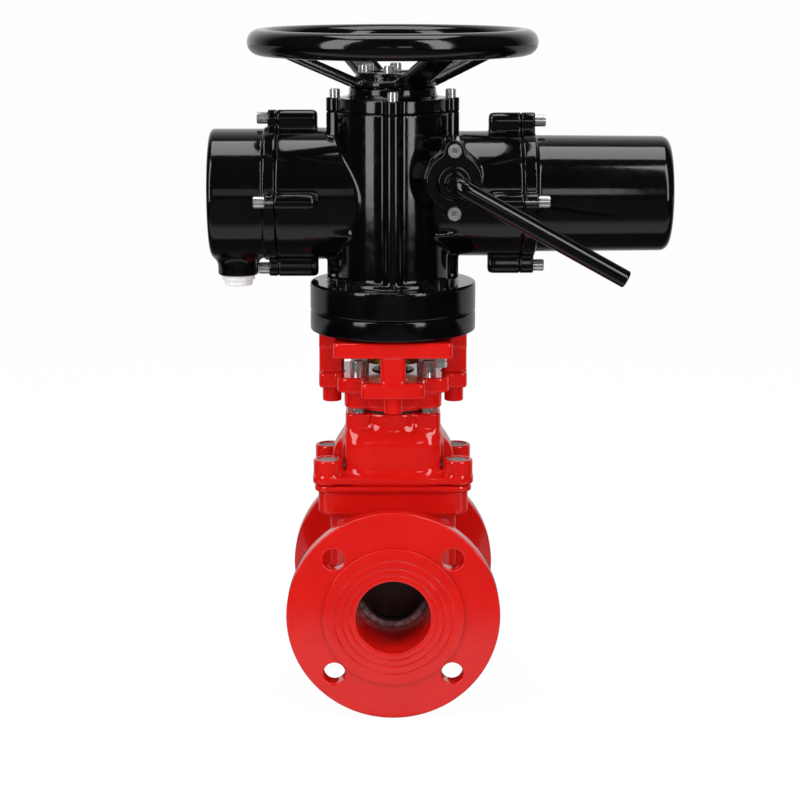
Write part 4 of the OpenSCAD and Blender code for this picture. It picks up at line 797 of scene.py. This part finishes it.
def lever_shape(x, y, z):
    """Round bar: straight out of its hub disc, a quarter of a torus, then down to the right."""
    lx, lz, w = x - LEVER_X, z - LEVER_Z, y - LEVER_FACE
    u = lx * math.cos(DROP) - lz * math.sin(DROP)
    v = lx * math.sin(DROP) + lz * math.cos(DROP)
    bend = np.hypot(np.hypot(u - BEND_R, w + BEND_AT) - BEND_R, v)
    arm = np.where(u < BEND_R, bend, np.hypot(w + BEND_AT + BEND_R, v))
    bar = np.where(w > -BEND_AT, np.hypot(u, v), arm) - ROD_R
    bar = soft_max(soft_max(bar, u - ROD_END, 1.6), w - HUB_DISC_BACK, 0.5)
    shape = soft_min(bar, plate(np.hypot(u, v) - HUB_DISC_R, w, -5, HUB_DISC_BACK, 1.0), 2.0)
    return np.maximum(shape, -np.maximum(np.hypot(u, v) - 9, -0.5 - w))


casting("clutch_lever_bar", lever_shape, (LEVER_X - 14, LEVER_FACE - 28, rod_lo[2]),
        (rod_hi[0], LEVER_FACE + 3, LEVER_Z + 14), 0.9, "black_enamel", "lever", ("clutch_lever",))


# ------------------------------------------------------------------ base ring, turned
BASE_BORE_R, BASE_SEAT_R = 28.5, 38
profile = rounded([(BASE_BORE_R, BASE_Z), (BASE_R, BASE_Z), (BASE_R, FOOT_Z), (BASE_SEAT_R, FOOT_Z),
                   (BASE_SEAT_R, BASE_Z + 4), (BASE_BORE_R, BASE_Z + 4), (BASE_BORE_R, BASE_Z)],
                  [0, 1.8, 1.6, 0.3, 0, 0, 0])
verts, faces = turned(profile, 160)
make_piece("base_ring_turned", verts + [0, STEM_Y, 0], faces, "black_enamel", "valve",
           ("base_ring",))


# ------------------------------------------------------------------ handwheel
RIM_R = 11.0
RIM_C = WHEEL_R - RIM_R
RIM_Z = HUB_FACE + 37.5
SPOKE_TURN = math.radians(24)
SPOKE_FOOT, SPOKE_RISE = 34.5, 33.5
SPOKE_RUN = RIM_C - SPOKE_FOOT


def wheel_shape(x, y, z):
    """Round rim, four flanged strip spokes that rise from the hub and a stepped hub."""
    r = np.hypot(x, y)
    rim = np.hypot(r - RIM_C, z - RIM_Z) - RIM_R
    hub = plate(r - 37.5, z, HUB_FACE, HUB_FACE + 5.2, 0.8)
    hub = np.minimum(hub, plate(r - 33, z, HUB_FACE + 4, HUB_FACE + 8, 0.4))
    hub = soft_min(hub, plate(r - 32, z, HUB_FACE + 6.2, HUB_FACE + 12.2, 1.0), 0.6)
    c, s = math.cos(SPOKE_TURN), math.sin(SPOKE_TURN)
    out, across = fold(c * x + s * y, -s * x + c * y)
    level = HUB_FACE + np.clip((out - SPOKE_FOOT) / SPOKE_RUN, 0, 1) * SPOKE_RISE
    tilt = math.cos(math.atan2(SPOKE_RISE, SPOKE_RUN))
    height = (z - level) * np.where(out > SPOKE_FOOT, tilt, 1.0)
    strip = plate(across - 12.5, height, 0.0, 4.0, 0.9)
    lip = plate(np.abs(across - 11.2) - 1.3, height, -1.0, 6.2, 0.8)
    strip = np.maximum(soft_min(strip, lip, 1.2), np.maximum(22 - out, out - RIM_C))
    shape = soft_min(soft_min(rim, strip, 2.0), hub, 1.5)
    hole = np.minimum(r - 11, np.maximum(r - 20, HUB_FACE + 10.2 - z))
    return soft_max(shape, -hole, 0.6)


casting("handwheel_painted", wheel_shape, (-WHEEL_R, -WHEEL_R, HUB_FACE),
        (WHEEL_R, WHEEL_R, RIM_Z + RIM_R), 1.3, "black_enamel", "hand_drive", ("handwheel",))


# ------------------------------------------------------------------ stage and light, in metres
WHITE = (1.0, 1.0, 1.0, 1.0)
PAPER = (0.8, 0.8, 0.8, 1.0)
PAPER_SHARE, PAPER_WHITE = 0.93, 1.032
ROOM_LIGHT, BACKDROP_WHITE = 0.35, 0.985
STEM_Y_M = STEM_Y * MM
TABLE_FRONT = -0.19
LAMP_AIM_Z = 0.3
FLOOR_HALF = 6.0


def paper_material():
    """White paper: white where seen directly and plain paper for light. In mirrors it is a table top
    that ends in front and at the sides, with a painted shadow from the valve backwards, and pale
    again further back."""
    material = bpy.data.materials.new("white_paper_sheet")
    material.use_nodes = True
    tree = material.node_tree
    tree.nodes.clear()
    path = add_node(tree, "ShaderNodeLightPath")
    coords = add_node(tree, "ShaderNodeTexCoord").outputs["Object"]
    place = add_node(tree, "ShaderNodeSeparateXYZ", None, {0: coords})
    behind = remap(tree, place.outputs["Y"], STEM_Y_M + 0.25, STEM_Y_M + 0.7, 0.0, 0.7)
    # Painted shadow: in mirrors the table dims to 0.06 from about y = 0 backwards, where the valve
    # stands.
    under = remap(tree, place.outputs["Y"], -0.02, 0.02, 1.0, 0.06)
    under = arithmetic(tree, "MAXIMUM", under, behind)
    front = remap(tree, place.outputs["Y"], TABLE_FRONT - 0.14, TABLE_FRONT, 0.08, 0.6)
    aside = remap(tree, arithmetic(tree, "ABSOLUTE", place.outputs["X"]), 0.55, 1.0, 1.0, 0.0)
    front = arithmetic(tree, "MAXIMUM", arithmetic(tree, "MULTIPLY", front, aside), behind)
    table = arithmetic(tree, "MULTIPLY", front, under)
    seen = seen_directly(tree, path)
    mirrored = path.outputs["Is Glossy Ray"]
    share = arithmetic(tree, "MAXIMUM", arithmetic(tree, "MULTIPLY", seen, PAPER_SHARE), mirrored)
    level = arithmetic(tree, "ADD", arithmetic(tree, "MULTIPLY", seen, PAPER_WHITE),
                       arithmetic(tree, "MULTIPLY", mirrored, table))
    paper = add_node(tree, "ShaderNodeBsdfDiffuse", {"Color": PAPER})
    glow = add_node(tree, "ShaderNodeEmission", {"Color": WHITE}, {"Strength": level})
    mix = add_node(tree, "ShaderNodeMixShader", None,
                   {0: share, 1: paper.outputs[0], 2: glow.outputs[0]})
    add_node(tree, "ShaderNodeOutputMaterial", None, {"Surface": mix.outputs[0]})
    return material


def floor_sheet():
    """A flat sheet under the valve."""
    mesh = bpy.data.meshes.new("floor_sheet")
    s, z = FLOOR_HALF, FLOOR_Z * MM
    mesh.from_pydata([(-s, -s, z), (s, -s, z), (s, s, z), (-s, s, z)], [], [(0, 1, 2, 3)])
    mesh.materials.append(paper_material())
    sheet = bpy.data.objects.new("floor_sheet", mesh)
    bpy.context.scene.collection.objects.link(sheet)


def soft_box(name, azimuth, elevation, distance, size, radiance, tint=(1.0, 1.0, 1.0)):
    """A rectangular lamp seen from the valve at an azimuth from the front, to the right, and an
    elevation. Its power is radiance times pi times its area."""
    az, el = math.radians(azimuth), math.radians(elevation)
    away = Vector((math.sin(az) * math.cos(el), -math.cos(az) * math.cos(el), math.sin(el)))
    lamp = bpy.data.lights.new(name, "AREA")
    lamp.shape = "RECTANGLE"
    lamp.size, lamp.size_y = size
    lamp.energy = radiance * math.pi * size[0] * size[1]
    lamp.color = tint
    holder = bpy.data.objects.new(name, lamp)
    holder.location = Vector((0.0, STEM_Y_M, LAMP_AIM_Z)) + away * distance
    holder.rotation_euler = (-away).to_track_quat("-Z", "Y").to_euler()
    bpy.context.scene.collection.objects.link(holder)


def studio_world():
    """World: white where seen directly, in mirrors a pale wall behind the valve, and a dim room for
    light."""
    world = bpy.data.worlds.new("studio")
    bpy.context.scene.world = world
    world.use_nodes = True
    tree = world.node_tree
    tree.nodes.clear()
    path = add_node(tree, "ShaderNodeLightPath")
    coords = add_node(tree, "ShaderNodeTexCoord").outputs["Generated"]
    way = add_node(tree, "ShaderNodeSeparateXYZ", None, {0: coords})
    wall = remap(tree, way.outputs["Y"], 0.4, 0.85, 0.02, 0.8)
    level = add_node(tree, "ShaderNodeMix", {"data_type": "FLOAT", 2: ROOM_LIGHT},
                     {0: path.outputs["Is Glossy Ray"], 3: wall}).outputs[0]
    room = add_node(tree, "ShaderNodeBackground", {"Color": WHITE}, {"Strength": level})
    white = add_node(tree, "ShaderNodeBackground", {"Color": WHITE, "Strength": BACKDROP_WHITE})
    mix = add_node(tree, "ShaderNodeMixShader", None,
                   {0: seen_directly(tree, path), 1: room.outputs[0], 2: white.outputs[0]})
    add_node(tree, "ShaderNodeOutputWorld", None, {"Surface": mix.outputs[0]})


def set_camera():
    """A long lens 1.8 m in front of the stem's axis, looking 12 degrees down."""
    camera = bpy.data.cameras.new("camera")
    camera.lens = 94.1
    camera.sensor_width = 36.0
    camera.clip_end = 50
    holder = bpy.data.objects.new("camera", camera)
    holder.rotation_mode = "XYZ"
    holder.location = (-0.00283, STEM_Y_M - 1.8176, 0.5628)
    holder.rotation_euler = (math.radians(90 - 12.14), 0.0, -0.005)
    bpy.context.scene.collection.objects.link(holder)
    bpy.context.scene.camera = holder
    bpy.context.scene.view_settings.view_transform = "Standard"


floor_sheet()
soft_box("box_left", -46, 27, 1.5, (0.5, 1.9), 4.6)
soft_box("box_right", 37, 27, 1.5, (0.4, 1.9), 5.0)
soft_box("box_over", 0, 94, 1.7, (1.3, 1.0), 4.0, (0.95, 0.97, 1.0))
soft_box("card_left", -6, 10, 1.9, (0.3, 0.35), 0.5)
soft_box("card_right", 9, 11, 1.9, (0.3, 0.35), 2.0)
studio_world()
set_camera()
